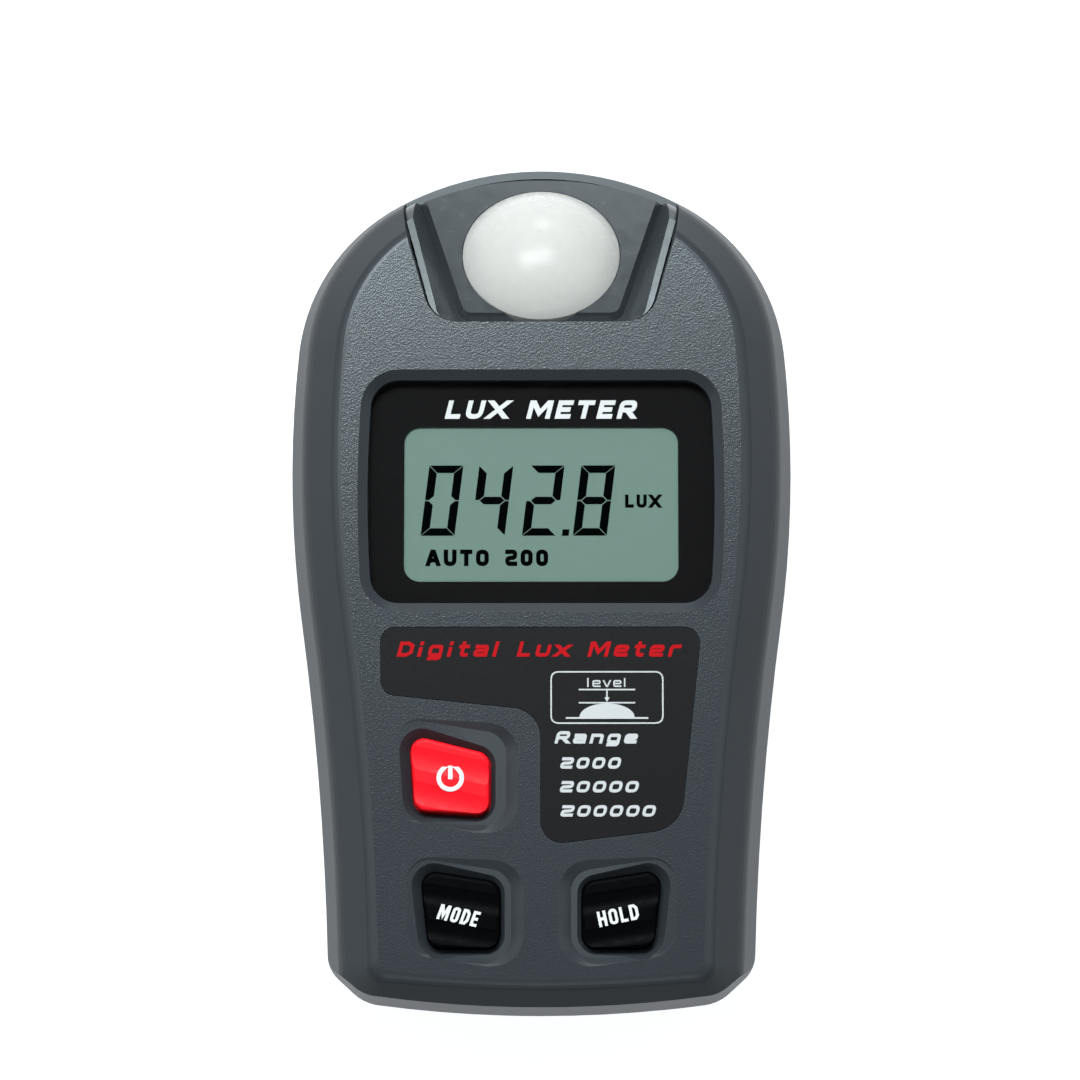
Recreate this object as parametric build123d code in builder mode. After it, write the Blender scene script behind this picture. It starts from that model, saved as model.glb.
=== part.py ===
"""Handheld light meter: two moulded shells around a display, three keys, a domed sensor and two cells.

The meter lies on its back. +X is its right, +Y points to the sensor head, +Z comes out of its face.
The origin is the centre of its footprint, on the back face. All sizes are in millimetres.
"""
from build123d import *
from math import asin, cos, radians, sin, tan
import os

os.makedirs("parts", exist_ok=True)

# --- case -----------------------------------------------------------------------------------
LENGTH = 102.0
DEPTH = 25.0
PARTING_Z = 13.0
WALL = 2.0
WALL_DRAFT = 14.4
FOOT_DRAFT = 5.0
BACK_DRAFT = 3.5
BEVEL_SLOPE = 38.0
# edges are rounded by narrow facets: radius of the rounding and slope of each facet
SHOULDER_RADIUS = 7.0
SHOULDER_SLOPES = (20.0, 26.0, 32.0)
RIM_RADIUS = 2.0
RIM_SLOPES = (48.0, 58.0, 68.0, 79.0)
BACK_SLOPES = (15.0, 28.0, 41.0, 54.0, 67.0, 80.0)
BACK_EDGE_RADIUS = 3.6
SEAM_CHAMFER = 0.22
LIP_HEIGHT = 1.3
LIP_INSET = 1.0
LIP_THICK = 0.8
LIP_END_Y = 36.0
HALF_LENGTH = LENGTH / 2
FACE_INNER_Z = DEPTH - WALL

# outline of the case at the seam: radius and turn of each arc, from the head end down one side
HEAD_ARC = (36.08, 28.6)
SHOULDER_ARC = (23.27, 55.65)
FLANK_ARC = (138.2, 13.7)
WAIST_ARC = (363.6, 6.23)
CORNER_ARC = (4.07, 45.64)
CORNER_FLAT = 2.41
FOOT_CORNER_ARC = (5.44, 35.1)

# flat face: the same arcs, drawn in from the seam outline
FACE_INSET = 5.7
FACE_FOOT_Y = -47.9
FACE_CORNER_Y = -46.8
FACE_CORNER_RADIUS = 1.6
FOOT_BOW = 0.22
SIDE_RUN = 20.0

# --- sensor head ----------------------------------------------------------------------------
NOTCH_FOOT_Y = 30.1
NOTCH_FOOT_HALF = 12.9
NOTCH_SIDE_LEAN = 16.2
NOTCH_CORNER = 4.0
NOTCH_DRAFT = 7.0
HEAD_BAND = 1.35
HEAD_BAND_TOP_Z = 14.7
TRAY_GAP = 0.1
TRAY_RIM_DROP = 1.4
TRAY_RIM_SLOPE = 12.0
TRAY_SLOPE = 24.1
TRAY_FLOOR_Y = 31.0
TRAY_FLOOR_Z = 22.5
TRAY_PLATE = 1.8
PLATEAU_RISE = 0.35
PLATEAU_DRAFT = 30.0
DOME_CENTRE_Y = 39.2
DOME_RADIUS = 9.4
DOME_HEIGHT = 5.0
DOME_WALL = 1.3
DOME_FLANGE = 0.9
DOME_FLANGE_RADIUS = 10.2
GASKET_THICK = 0.4
BOWL_DEPTH = 0.6
BOWL_FLOOR_HALF = 9.5
BOWL_FLOOR_LEAN = 0.29
BOWL_FLOOR_CORNER = 1.8
BOWL_MOUTH_HALF = 14.2
BOWL_MOUTH_LEAN = 0.2
BOWL_MOUTH_Y = 29.7
BOWL_MOUTH_CORNER = 3.6
BOWL_LENGTH = 25.0
PLATEAU_HALF = 8.4
PLATEAU_LEAN = 0.29
PLATEAU_START = 0.75
PLATEAU_CORNER = 0.8
SENSOR_POST_X = 12.0
SENSOR_POST_LENGTH = 4.8
SENSOR_POST_RADIUS = 1.6
SENSOR_SCREW_RADIUS = 0.75
SENSOR_SCREW_HEAD = 0.9
SENSOR_BOARD_WIDTH = 27.0
SENSOR_BOARD_HEIGHT = 14.0
SENSOR_BOARD_THICK = 1.0
PHOTODIODE_SIDE = 8.0
PHOTODIODE_HEIGHT = 2.0
FILTER_RADIUS = 3.6
FILTER_THICK = 1.0

# --- display --------------------------------------------------------------------------------
PANEL_TOP_Y = 23.25
PANEL_FOOT_Y = -3.25
PANEL_CORNER_X = 19.85
PANEL_MIDDLE_X = 20.4
PANEL_CORNER = 3.4
PANEL_TOP_Z = 24.05
LENS_THICK = 1.5
MASK_THICK = 0.2
MASK_GAP = 0.05
WINDOW_HALF_X = 16.15
WINDOW_TOP_Y = 17.9
WINDOW_FOOT_Y = -0.5
WINDOW_CORNER = 1.9
WINDOW_MIDDLE_Y = (WINDOW_TOP_Y + WINDOW_FOOT_Y) / 2
SURROUND_SLOPE = 50.0
PANEL_GAP = 0.06
LEDGE_Z = 21.6
LEDGE_REACH = 2.75
LCD_TOP_Z = 22.2
FRAME_GAP = 0.1
LCD_GLASS = 1.1
LCD_REFLECTOR = 0.2
LCD_HALF_X = 17.8
LCD_HALF_Y = 9.7
LCD_LEDGE = 1.9

# --- keys -----------------------------------------------------------------------------------
KEY_TRAVEL = 0.5
KEY_TOP_Z = 25.7
KEY_GAP = 0.2
KEY_CORNER = 1.5
KEY_FLANGE = 1.0
KEY_FLANGE_Z = (21.5, 22.7)
KEY_EDGE_RADIUS = 0.45
# radius and depth of the grooves across a key, and their places from the key's centre
KEY_GROOVE = (2.4, 0.4)
POWER_GROOVE = (5.0, 0.18)
GROOVE_PLACES = (1.6, -2.5)
ROLLER_LENGTH = 20.0
COLLAR_Z = 23.7

# corners of each key's outline, clockwise from the upper outer one
POWER_CORNERS = [(-15.27, -18.76), (-6.0, -21.07), (-6.0, -28.15), (-14.64, -27.6)]
MODE_CORNERS = [(-13.95, -34.5), (-4.85, -35.96), (-4.85, -43.45), (-12.9, -43.45)]
HOLD_CORNERS = [(-x, y) for x, y in MODE_CORNERS]
# corners of the floor of the sloping dish around each key, deepest beside the centre line
POWER_DISH = [(-16.9, -16.7), (-4.05, -18.7), (-4.05, -29.0), (-7.8, -29.3), (-16.9, -28.6)]
MODE_DISH = [(-15.6, -32.9), (-3.45, -34.7), (-3.45, -44.4), (-6.6, -44.6), (-15.4, -44.1)]
HOLD_DISH = [(-x, y) for x, y in MODE_DISH]
DISH_SLOPE = 3.6
DISH_EDGE_X = 16.5
DISH_DRAFT = 57.0
DISH_CORNER = 2.6
COLLAR_DRAFT = 42.0
COLLAR_RISE = 2.0
KEY_WELLS = [
    (POWER_CORNERS, POWER_DISH, -1),
    (MODE_CORNERS, MODE_DISH, -1),
    (HOLD_CORNERS, HOLD_DISH, 1),
]

# --- label ----------------------------------------------------------------------------------
LABEL_RECESS = 0.3
LABEL_THICK = 0.25
LABEL_CORNERS = [
    (18.85, -6.1),
    (-18.85, -6.1),
    (-18.75, -14.05),
    (-0.15, -15.97),
    (-0.15, -31.7),
    (16.3, -29.7),
]
LABEL_RADII = [2.0, 1.8, 1.8, 3.4, 2.6, 4.2]

# --- board and switches ---------------------------------------------------------------------
BOARD_Z = 14.8
BOARD_THICK = 1.6
BOARD_TOP_Z = BOARD_Z + BOARD_THICK
SWITCH_SIDE = 6.0
SWITCH_HEIGHT = 3.5
PLUNGER_RADIUS = 1.7
PLUNGER_TOP_Z = 20.6
PLUNGER_LENGTH = 2.4
POWER_CENTRE = (-10.4, -24.0)
MODE_CENTRE = (-9.3, -39.6)
HOLD_CENTRE = (9.3, -39.6)
BOARD_HEAD_Y = 28.3
# right half of the board's outline, from the head end to the foot end
BOARD_CORNERS = [
    (0, BOARD_HEAD_Y),
    (20.6, BOARD_HEAD_Y),
    (20.6, -8.0),
    (17.4, -12.0),
    (16.6, -45.5),
    (0, -45.5),
]
BOARD_CORNER = 1.5
CONTROLLER_PLACE = (5.5, -14.0)
CONTROLLER_RADII = (5.5, 5.0)
CONTROLLER_HEIGHT = 1.1
CONTROLLER_EDGE = 0.8
AMPLIFIER_PLACE = (9.0, -25.5)
AMPLIFIER_SIZE = (5.0, 4.0)
AMPLIFIER_HEIGHT = 1.5
PIN_PITCH = 1.27
PIN_SIZE = (0.42, 1.2)
PIN_THICK = 0.3
CRYSTAL_PLACE = (-4.5, -12.0)
CRYSTAL_RADIUS = 1.0
CRYSTAL_LENGTH = 4.2
CAPACITOR_RADIUS = 2.0
CAPACITOR_HEIGHT = 4.5
RESISTORS_PLACE = (13.6, -14.0)
RESISTOR_SIZE = (1.25, 2.0)
RESISTOR_PITCH = (2.2, 2.6)
RESISTOR_THICK = 0.5
TRIMMER_PLACE = (2.0, -27.5)
TRIMMER_SIDE = 3.6
TRIMMER_HEIGHT = 1.4
TRIMMER_DIAL_RADIUS = 1.4
TRIMMER_DIAL_HEIGHT = 0.5
TRIMMER_SLOT = (2.0, 0.5)
CAPACITOR_PLACES = [(-12.5, -10.5), (-12.5, -15.4), (11.5, -32.0)]
BOARD_SCREWS = [(-18.5, 26.3), (18.5, 26.3), (-15.6, -31.25), (15.6, -31.25)]
CASE_SCREWS = [(-24.4, 24.0), (24.4, 24.0), (-19.6, -41.0), (19.6, -41.0)]

BOARD_BOSS_RADIUS = 1.6
BOARD_SCREW_LENGTH = 5.0
CASE_BOSS_RADIUS = 2.1
CASE_BOSS_TOP_Z = 19.5
SCREW_RADIUS = 0.9
SCREW_HEAD_RADIUS = 1.8
SCREW_HEAD_HEIGHT = 1.2
CROSS_LENGTH = 2.2
CROSS_WIDTH = 0.5
CROSS_DEPTH = 0.7
CASE_SCREW_LENGTH = 12.0
CASE_POST_RADIUS = 3.0
CASE_SEAT_Z = 5.0
RATING_Y = 22.0
RATING_WIDTH = 30.0
RATING_HEIGHT = 14.0

# --- cells and bay --------------------------------------------------------------------------
CELL_RADIUS = 5.25
CELL_LENGTH = 44.5
CELL_X = 5.45
CELL_Z = 7.85
BAY_HALF_X = 11.2
BAY_WALL = 1.4
BAY_FOOT_Y = -45.2
BAY_HEAD_Y = 2.4
BAY_CEILING_Z = 13.3
BAY_TOP_Z = 14.2
CONTACT_THICK = 0.3
BAY_MIDDLE_Y = (BAY_HEAD_Y + BAY_FOOT_Y) / 2
BAY_LENGTH = BAY_HEAD_Y - BAY_FOOT_Y
CONTACT_SIDE = 8.0
TAB_WIDTH = 2.0
TAB_Z = 10.5
SPRING_LENGTH = BAY_LENGTH - CELL_LENGTH - 2 * CONTACT_THICK

CELL_NUB = 1.0
CELL_NUB_RADIUS = 1.9
SPRING_WIRE = 0.25
SPRING_RADIUS = 2.6
SPRING_TURNS = 3
WIRE_RADIUS = 0.45

# --- battery door ---------------------------------------------------------------------------
DOOR_THICK = 1.8
DOOR_HALF_X = 13.3
DOOR_HEAD_Y = 4.4
DOOR_TONGUE = 0.8
DOOR_TONGUE_Z = 1.0
DOOR_END_Y = -47.4
DOOR_END_Z = 7.0
DOOR_GAP = 0.2
DOOR_SIDE_GAP = 0.15
GRIP_PITCH = 1.6
GRIP_COUNT = 5
GRIP_WIDTH = 13.0
GRIP_GROOVE = 0.8
GRIP_DEPTH = 0.4
RAIL_HALF_X = 15.4
RAIL_TOP_Z = 3.4
SHELF_TOP_Z = 8.6
FOAM_THICK = 0.6
FOAM_HALF_X = 9.5
FOAM_SPAN_Y = (-38.0, -6.0)
CHANNEL_TOP_Z = DOOR_THICK + DOOR_GAP


def flank_outline(inset):
    """Draw the left flank from the head end towards the waist, drawn in by inset."""
    head = JernArc((0, HALF_LENGTH - inset), (-1, 0), HEAD_ARC[0] - inset, HEAD_ARC[1])
    shoulder = JernArc(head @ 1, head % 1, SHOULDER_ARC[0] - inset, SHOULDER_ARC[1])
    return JernArc(shoulder @ 1, shoulder % 1, FLANK_ARC[0] - inset, FLANK_ARC[1])


def case_outline(inset=0.0, mode=Mode.ADD):
    """Add the case outline at the seam, drawn in by inset, to the active sketch."""
    with BuildLine() as edge:
        flank = flank_outline(inset)
        waist = JernArc(flank @ 1, flank % 1, WAIST_ARC[0] + inset, -WAIST_ARC[1])
        corner = JernArc(waist @ 1, waist % 1, CORNER_ARC[0] - inset, CORNER_ARC[1])
        flat = Line(corner @ 1, corner @ 1 + CORNER_FLAT * (corner % 1))
        foot = JernArc(flat @ 1, flat % 1, FOOT_CORNER_ARC[0] - inset, FOOT_CORNER_ARC[1])
        TangentArc(foot @ 1, (0, inset - HALF_LENGTH), tangent=foot % 1)
        mirror(about=Plane.YZ)
    make_face(edge.edges(), mode=mode)


def side_outline():
    """Add the case outline at the seam with its sides running straight on past the foot."""
    with BuildLine() as edge:
        flank = flank_outline(0)
        waist = JernArc(flank @ 1, flank % 1, WAIST_ARC[0], -WAIST_ARC[1])
        run = Line(waist @ 1, waist @ 1 + SIDE_RUN * (waist % 1))
        Line(run @ 1, (0, (run @ 1).Y))
        mirror(about=Plane.YZ)
    make_face(edge.edges())


def face_outline(inset=0.0):
    """Add the outline of the flat face, drawn in by inset, to the active sketch."""
    drawn_in = FACE_INSET + inset
    with BuildLine() as edge:
        flank = flank_outline(drawn_in)
        waist = JernArc(flank @ 1, flank % 1, WAIST_ARC[0] + drawn_in, -WAIST_ARC[1])
        corner = Vector((waist @ 1).X + 0.1, FACE_CORNER_Y + inset)
        foot = Vector(0, FACE_FOOT_Y + inset)
        Line(waist @ 1, corner)
        ThreePointArc(corner, (corner + foot) / 2 - Vector(0, FOOT_BOW), foot)
        mirror(about=Plane.YZ)
    make_face(edge.edges())
    corners = vertices().filter_by_position(Axis.Y, corner.Y - 0.01, corner.Y + 0.01)
    fillet(corners, FACE_CORNER_RADIUS)


def rounded_polygon(points, radius):
    """Add a polygon with equally rounded corners to the active sketch."""
    with BuildLine() as edge:
        Polyline(*points, close=True)
    make_face(edge.edges())
    fillet(vertices(), radius)


def label_outline(inset=0.0):
    """Add the outline of the L-shaped label, drawn in by inset, to the active sketch."""
    with BuildLine() as edge:
        Polyline(*LABEL_CORNERS, close=True)
    make_face(edge.edges())
    for point, radius in zip(LABEL_CORNERS, LABEL_RADII):
        corner = vertices().sort_by_distance(point)[0]
        fillet(corner, radius)
    if inset:
        offset(amount=-inset)


def dish_plane(side):
    """Plane of a key dish's floor, which falls from the outer side towards the centre line."""
    normal = (-side * sin(radians(DISH_SLOPE)), 0, cos(radians(DISH_SLOPE)))
    return Plane(origin=(side * DISH_EDGE_X, 0, DEPTH), x_dir=(normal[2], 0, -normal[0]), z_dir=normal)


def panel_outline(inset=0.0):
    """Add the outline of the display panel: a rectangle with slightly bowed sides."""
    top_y = PANEL_TOP_Y - inset
    foot_y = PANEL_FOOT_Y + inset
    side_x = PANEL_CORNER_X - inset
    with BuildLine() as edge:
        Line((-side_x, top_y), (side_x, top_y))
        ThreePointArc((side_x, top_y), (PANEL_MIDDLE_X - inset, (top_y + foot_y) / 2), (side_x, foot_y))
        Line((side_x, foot_y), (-side_x, foot_y))
        ThreePointArc((-side_x, foot_y), (inset - PANEL_MIDDLE_X, (top_y + foot_y) / 2), (-side_x, top_y))
    make_face(edge.edges())
    fillet(vertices(), PANEL_CORNER - inset)


def window_outline(grow=0.0, mode=Mode.ADD):
    """Add the display window's rounded rectangle, grown by grow, to the active sketch."""
    middle_y = (WINDOW_TOP_Y + WINDOW_FOOT_Y) / 2
    with Locations((0, middle_y)):
        RectangleRounded(
            2 * (WINDOW_HALF_X + grow),
            WINDOW_TOP_Y - WINDOW_FOOT_Y + 2 * grow,
            WINDOW_CORNER,
            mode=mode,
        )


def notch_outline(gap=0.0):
    """Add the notch outline, open past the head end, to the active sketch."""
    lean = tan(radians(NOTCH_SIDE_LEAN))
    foot_half = NOTCH_FOOT_HALF - gap
    reach_y = HALF_LENGTH + 6
    reach_half = foot_half + lean * (reach_y - NOTCH_FOOT_Y)
    points = [
        (-foot_half, NOTCH_FOOT_Y + gap),
        (foot_half, NOTCH_FOOT_Y + gap),
        (reach_half, reach_y),
        (-reach_half, reach_y),
    ]
    with BuildLine() as edge:
        Polyline(*points, close=True)
    make_face(edge.edges())
    fillet(vertices().sort_by(Axis.Y)[:2], NOTCH_CORNER)


# planes of the sensor head: the tray's floor falls away towards the head end
FLOOR_NORMAL = (0, sin(radians(TRAY_SLOPE)), cos(radians(TRAY_SLOPE)))
FLOOR_PLANE = Plane(origin=(0, TRAY_FLOOR_Y, TRAY_FLOOR_Z), x_dir=(1, 0, 0), z_dir=FLOOR_NORMAL)
FLOOR_FOOTWARD = (0, -cos(radians(TRAY_SLOPE)), sin(radians(TRAY_SLOPE)))
RIM_NORMAL = (0, sin(radians(TRAY_RIM_SLOPE)), cos(radians(TRAY_RIM_SLOPE)))
RIM_PLANE = Plane(origin=(0, TRAY_FLOOR_Y, DEPTH - TRAY_RIM_DROP), x_dir=(1, 0, 0), z_dir=RIM_NORMAL)
DOME_V = (DOME_CENTRE_Y - TRAY_FLOOR_Y) / cos(radians(TRAY_SLOPE))
PLATEAU_SPREAD = (BOWL_DEPTH + PLATEAU_RISE) * tan(radians(PLATEAU_DRAFT))


def floor_plane(height=0.0):
    """Plane parallel to the tray floor, with its origin under or over the dome's centre."""
    plane = FLOOR_PLANE.offset(height)
    return Plane(origin=plane.from_local_coords((0, DOME_V, 0)), x_dir=(1, 0, 0), z_dir=FLOOR_NORMAL)


# half section of the dome's crown, which stands on the plateau
DOME_SECTION_PLANE = Plane(origin=floor_plane(PLATEAU_RISE).origin, x_dir=(1, 0, 0), z_dir=FLOOR_FOOTWARD)
CROWN_RADIUS = (DOME_RADIUS**2 + DOME_HEIGHT**2) / (2 * DOME_HEIGHT)
CROWN_HALF_ANGLE = asin(DOME_RADIUS / CROWN_RADIUS)
DOME_ARC_MIDDLE = (
    CROWN_RADIUS * sin(CROWN_HALF_ANGLE / 2),
    DOME_HEIGHT - CROWN_RADIUS * (1 - cos(CROWN_HALF_ANGLE / 2)),
)


def facet_inset(slope, radius, depth, inset):
    """Inset, at the flat's level, of a facet that touches a rounding of the given radius.

    The rounding's centre lies at that depth and inset. Slopes are measured from the vertical.
    """
    lean = radians(slope)
    return inset - (radius - depth * sin(lean)) / cos(lean)


def rim_centre(slope, inset, radius):
    """Inset of the centre of a rounding between a flat and a side that meets it at inset."""
    lean = radians(slope)
    return inset + radius * (1 - sin(lean)) / cos(lean)


def save(piece, name):
    """Label a finished piece and write it as one STEP file."""
    piece.label = name
    export_step(piece, f"parts/{name}.step")


def bowl_outline(half, lean, start, length, corner):
    """Add a four-sided outline that widens towards the head end, with rounded foot corners."""
    reach_half = half + lean * length
    points = [(-half, start), (half, start), (reach_half, start + length), (-reach_half, start + length)]
    with BuildLine() as edge:
        Polyline(*points, close=True)
    make_face(edge.edges())
    fillet(vertices().sort_by(Axis.Y)[:2], corner)


# --- solids that the shells are cut from ----------------------------------------------------
WALL_TOP_INSET = (DEPTH - PARTING_Z) * tan(radians(WALL_DRAFT))
WALL_LEAN = radians(WALL_DRAFT)
BEVEL_LEAN = radians(BEVEL_SLOPE)
SHOULDER_DEPTH = (
    FACE_INSET - WALL_TOP_INSET - SHOULDER_RADIUS * (1 / cos(WALL_LEAN) - 1 / cos(BEVEL_LEAN))
) / (tan(BEVEL_LEAN) - tan(WALL_LEAN))
SHOULDER_CENTRE = (
    FACE_INSET + (SHOULDER_RADIUS - SHOULDER_DEPTH * sin(BEVEL_LEAN)) / cos(BEVEL_LEAN)
)
RIM_CENTRE = rim_centre(BEVEL_SLOPE, FACE_INSET, RIM_RADIUS)
BACK_CENTRE = rim_centre(BACK_DRAFT, PARTING_Z * tan(radians(BACK_DRAFT)), BACK_EDGE_RADIUS)

# slope of each facet from the side wall up to the face, and its inset at the face's level
FRONT_FACETS = [(BEVEL_SLOPE, FACE_INSET)]
for slope in SHOULDER_SLOPES:
    FRONT_FACETS.append((slope, facet_inset(slope, SHOULDER_RADIUS, SHOULDER_DEPTH, SHOULDER_CENTRE)))
for slope in RIM_SLOPES:
    FRONT_FACETS.append((slope, facet_inset(slope, RIM_RADIUS, RIM_RADIUS, RIM_CENTRE)))

# the sides and the head lean in by WALL_DRAFT, the foot and its corners by FOOT_DRAFT
with BuildPart() as front_block:
    with BuildSketch(Plane.XY.offset(PARTING_Z)):
        case_outline()
    extrude(amount=DEPTH - PARTING_Z, taper=FOOT_DRAFT)
    with BuildSketch(Plane.XY.offset(PARTING_Z)):
        side_outline()
    extrude(amount=DEPTH - PARTING_Z, taper=WALL_DRAFT, mode=Mode.INTERSECT)
    with BuildSketch(Plane.XY.offset(PARTING_Z)):
        case_outline(SEAM_CHAMFER)
    extrude(amount=DEPTH - PARTING_Z, taper=-45, mode=Mode.INTERSECT)
    for slope, inset in FRONT_FACETS:
        with BuildSketch(Plane.XY.offset(DEPTH)):
            face_outline(inset - FACE_INSET)
        extrude(amount=PARTING_Z - DEPTH, taper=-slope, mode=Mode.INTERSECT)

with BuildPart() as front_space:
    with BuildSketch(Plane.XY.offset(PARTING_Z)):
        case_outline(WALL)
    extrude(amount=FACE_INNER_Z - PARTING_Z, taper=WALL_DRAFT)
    with BuildSketch(Plane.XY.offset(FACE_INNER_Z)):
        face_outline(1.0)
    extrude(amount=PARTING_Z - FACE_INNER_Z, taper=-BEVEL_SLOPE, mode=Mode.INTERSECT)

with BuildPart() as back_block:
    with BuildSketch(Plane.XY.offset(PARTING_Z)):
        case_outline()
    extrude(amount=-PARTING_Z, taper=BACK_DRAFT)
    for slope in BACK_SLOPES:
        with BuildSketch(Plane.XY):
            case_outline(facet_inset(slope, BACK_EDGE_RADIUS, BACK_EDGE_RADIUS, BACK_CENTRE))
        extrude(amount=PARTING_Z, taper=-slope, mode=Mode.INTERSECT)
    with BuildSketch(Plane.XY.offset(PARTING_Z)):
        case_outline(SEAM_CHAMFER)
    extrude(amount=-PARTING_Z, taper=-45, mode=Mode.INTERSECT)

with BuildPart() as back_space:
    with BuildSketch(Plane.XY.offset(PARTING_Z)):
        case_outline(WALL)
    extrude(amount=WALL - PARTING_Z, taper=BACK_DRAFT)
    fillet(faces().sort_by(Axis.Z)[0].edges(), 1.4)

# prism that fills the notch at the head end, leaning outward towards the face
with BuildPart() as notch_prism:
    with BuildSketch(Plane.XY.offset(DEPTH)):
        notch_outline()
    extrude(amount=PARTING_Z - DEPTH - 1, taper=NOTCH_DRAFT)

# the notch leaves a low band of wall standing around the head end
with BuildPart() as notch_tool:
    add(notch_prism.part)
    with BuildSketch(Plane.XY.offset(HEAD_BAND_TOP_Z)):
        Rectangle(2 * LENGTH, 2 * LENGTH)
        case_outline(HEAD_BAND, mode=Mode.SUBTRACT)
    extrude(amount=-LENGTH / 2, mode=Mode.SUBTRACT)

# --- front shell ----------------------------------------------------------------------------
LENS_FOOT_Z = PANEL_TOP_Z - LENS_THICK - MASK_THICK
with BuildPart() as front_shell:
    add(front_block.part)
    add(front_space.part, mode=Mode.SUBTRACT)
    # rim that carries the window, standing inward from the face
    with BuildSketch(Plane.XY.offset(LEDGE_Z)):
        panel_outline(-1.2)
    extrude(amount=FACE_INNER_Z - LEDGE_Z + 0.2)
    with BuildSketch(Plane.XY.offset(PANEL_TOP_Z)):
        panel_outline()
    extrude(amount=DEPTH - PANEL_TOP_Z + 0.5, taper=-SURROUND_SLOPE, mode=Mode.SUBTRACT)
    with BuildSketch(Plane.XY.offset(LENS_FOOT_Z)):
        panel_outline()
    extrude(amount=PANEL_TOP_Z - LENS_FOOT_Z, mode=Mode.SUBTRACT)
    with BuildSketch(Plane.XY.offset(LEDGE_Z)):
        window_outline(LEDGE_REACH)
    extrude(amount=LENS_FOOT_Z - LEDGE_Z, mode=Mode.SUBTRACT)
    # recess for the printed label
    with BuildSketch(Plane.XY.offset(DEPTH)):
        label_outline()
    extrude(amount=-LABEL_RECESS, mode=Mode.SUBTRACT)
    # dish, collar and hole of each key
    for corners, dish, side in KEY_WELLS:
        with BuildSketch(dish_plane(side)):
            rounded_polygon([(x - side * DISH_EDGE_X, y) for x, y in dish], DISH_CORNER)
        extrude(amount=WALL, taper=-DISH_DRAFT, mode=Mode.SUBTRACT)
        with BuildSketch(Plane.XY.offset(COLLAR_Z)):
            rounded_polygon(corners, KEY_CORNER)
            offset(amount=KEY_GAP)
        extrude(amount=COLLAR_RISE, taper=-COLLAR_DRAFT, mode=Mode.SUBTRACT)
        with BuildSketch(Plane.XY.offset(COLLAR_Z)):
            rounded_polygon(corners, KEY_CORNER)
            offset(amount=KEY_GAP)
        extrude(amount=-WALL, mode=Mode.SUBTRACT)
    # bosses for the board screws and the case screws
    with BuildSketch(Plane.XY.offset(BOARD_TOP_Z)):
        with Locations(*BOARD_SCREWS):
            Circle(BOARD_BOSS_RADIUS)
    extrude(amount=FACE_INNER_Z - BOARD_TOP_Z + 0.1)
    with BuildSketch(Plane.XY.offset(PARTING_Z + 0.1)):
        with Locations(*CASE_SCREWS):
            Circle(CASE_BOSS_RADIUS)
    extrude(amount=CASE_BOSS_TOP_Z - PARTING_Z)
    with BuildSketch(Plane.XY.offset(BOARD_TOP_Z)):
        with Locations(*BOARD_SCREWS):
            Circle(SCREW_RADIUS + 0.05)
    extrude(amount=BOARD_SCREW_LENGTH, mode=Mode.SUBTRACT)
    with BuildSketch(Plane.XY.offset(PARTING_Z)):
        with Locations(*CASE_SCREWS):
            Circle(SCREW_RADIUS + 0.05)
    extrude(amount=CASE_BOSS_TOP_Z - PARTING_Z - 1, mode=Mode.SUBTRACT)
    # rebate for the lip of the back shell
    with BuildSketch(Plane.XY.offset(PARTING_Z)):
        case_outline(LIP_INSET - 0.1)
    extrude(amount=LIP_HEIGHT + 0.1, mode=Mode.SUBTRACT)
    add(notch_tool.part, mode=Mode.SUBTRACT)
save(front_shell.part, "front_shell")


# --- back shell -----------------------------------------------------------------------------
with BuildPart() as foot_shelf:
    with BuildSketch(Plane.XY.offset(WALL / 2)):
        with Locations((0, (BAY_FOOT_Y - HALF_LENGTH) / 2)):
            Rectangle(2 * RAIL_HALF_X, HALF_LENGTH + BAY_FOOT_Y)
    extrude(amount=SHELF_TOP_Z - WALL / 2)
    add(back_block.part, mode=Mode.INTERSECT)

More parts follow.
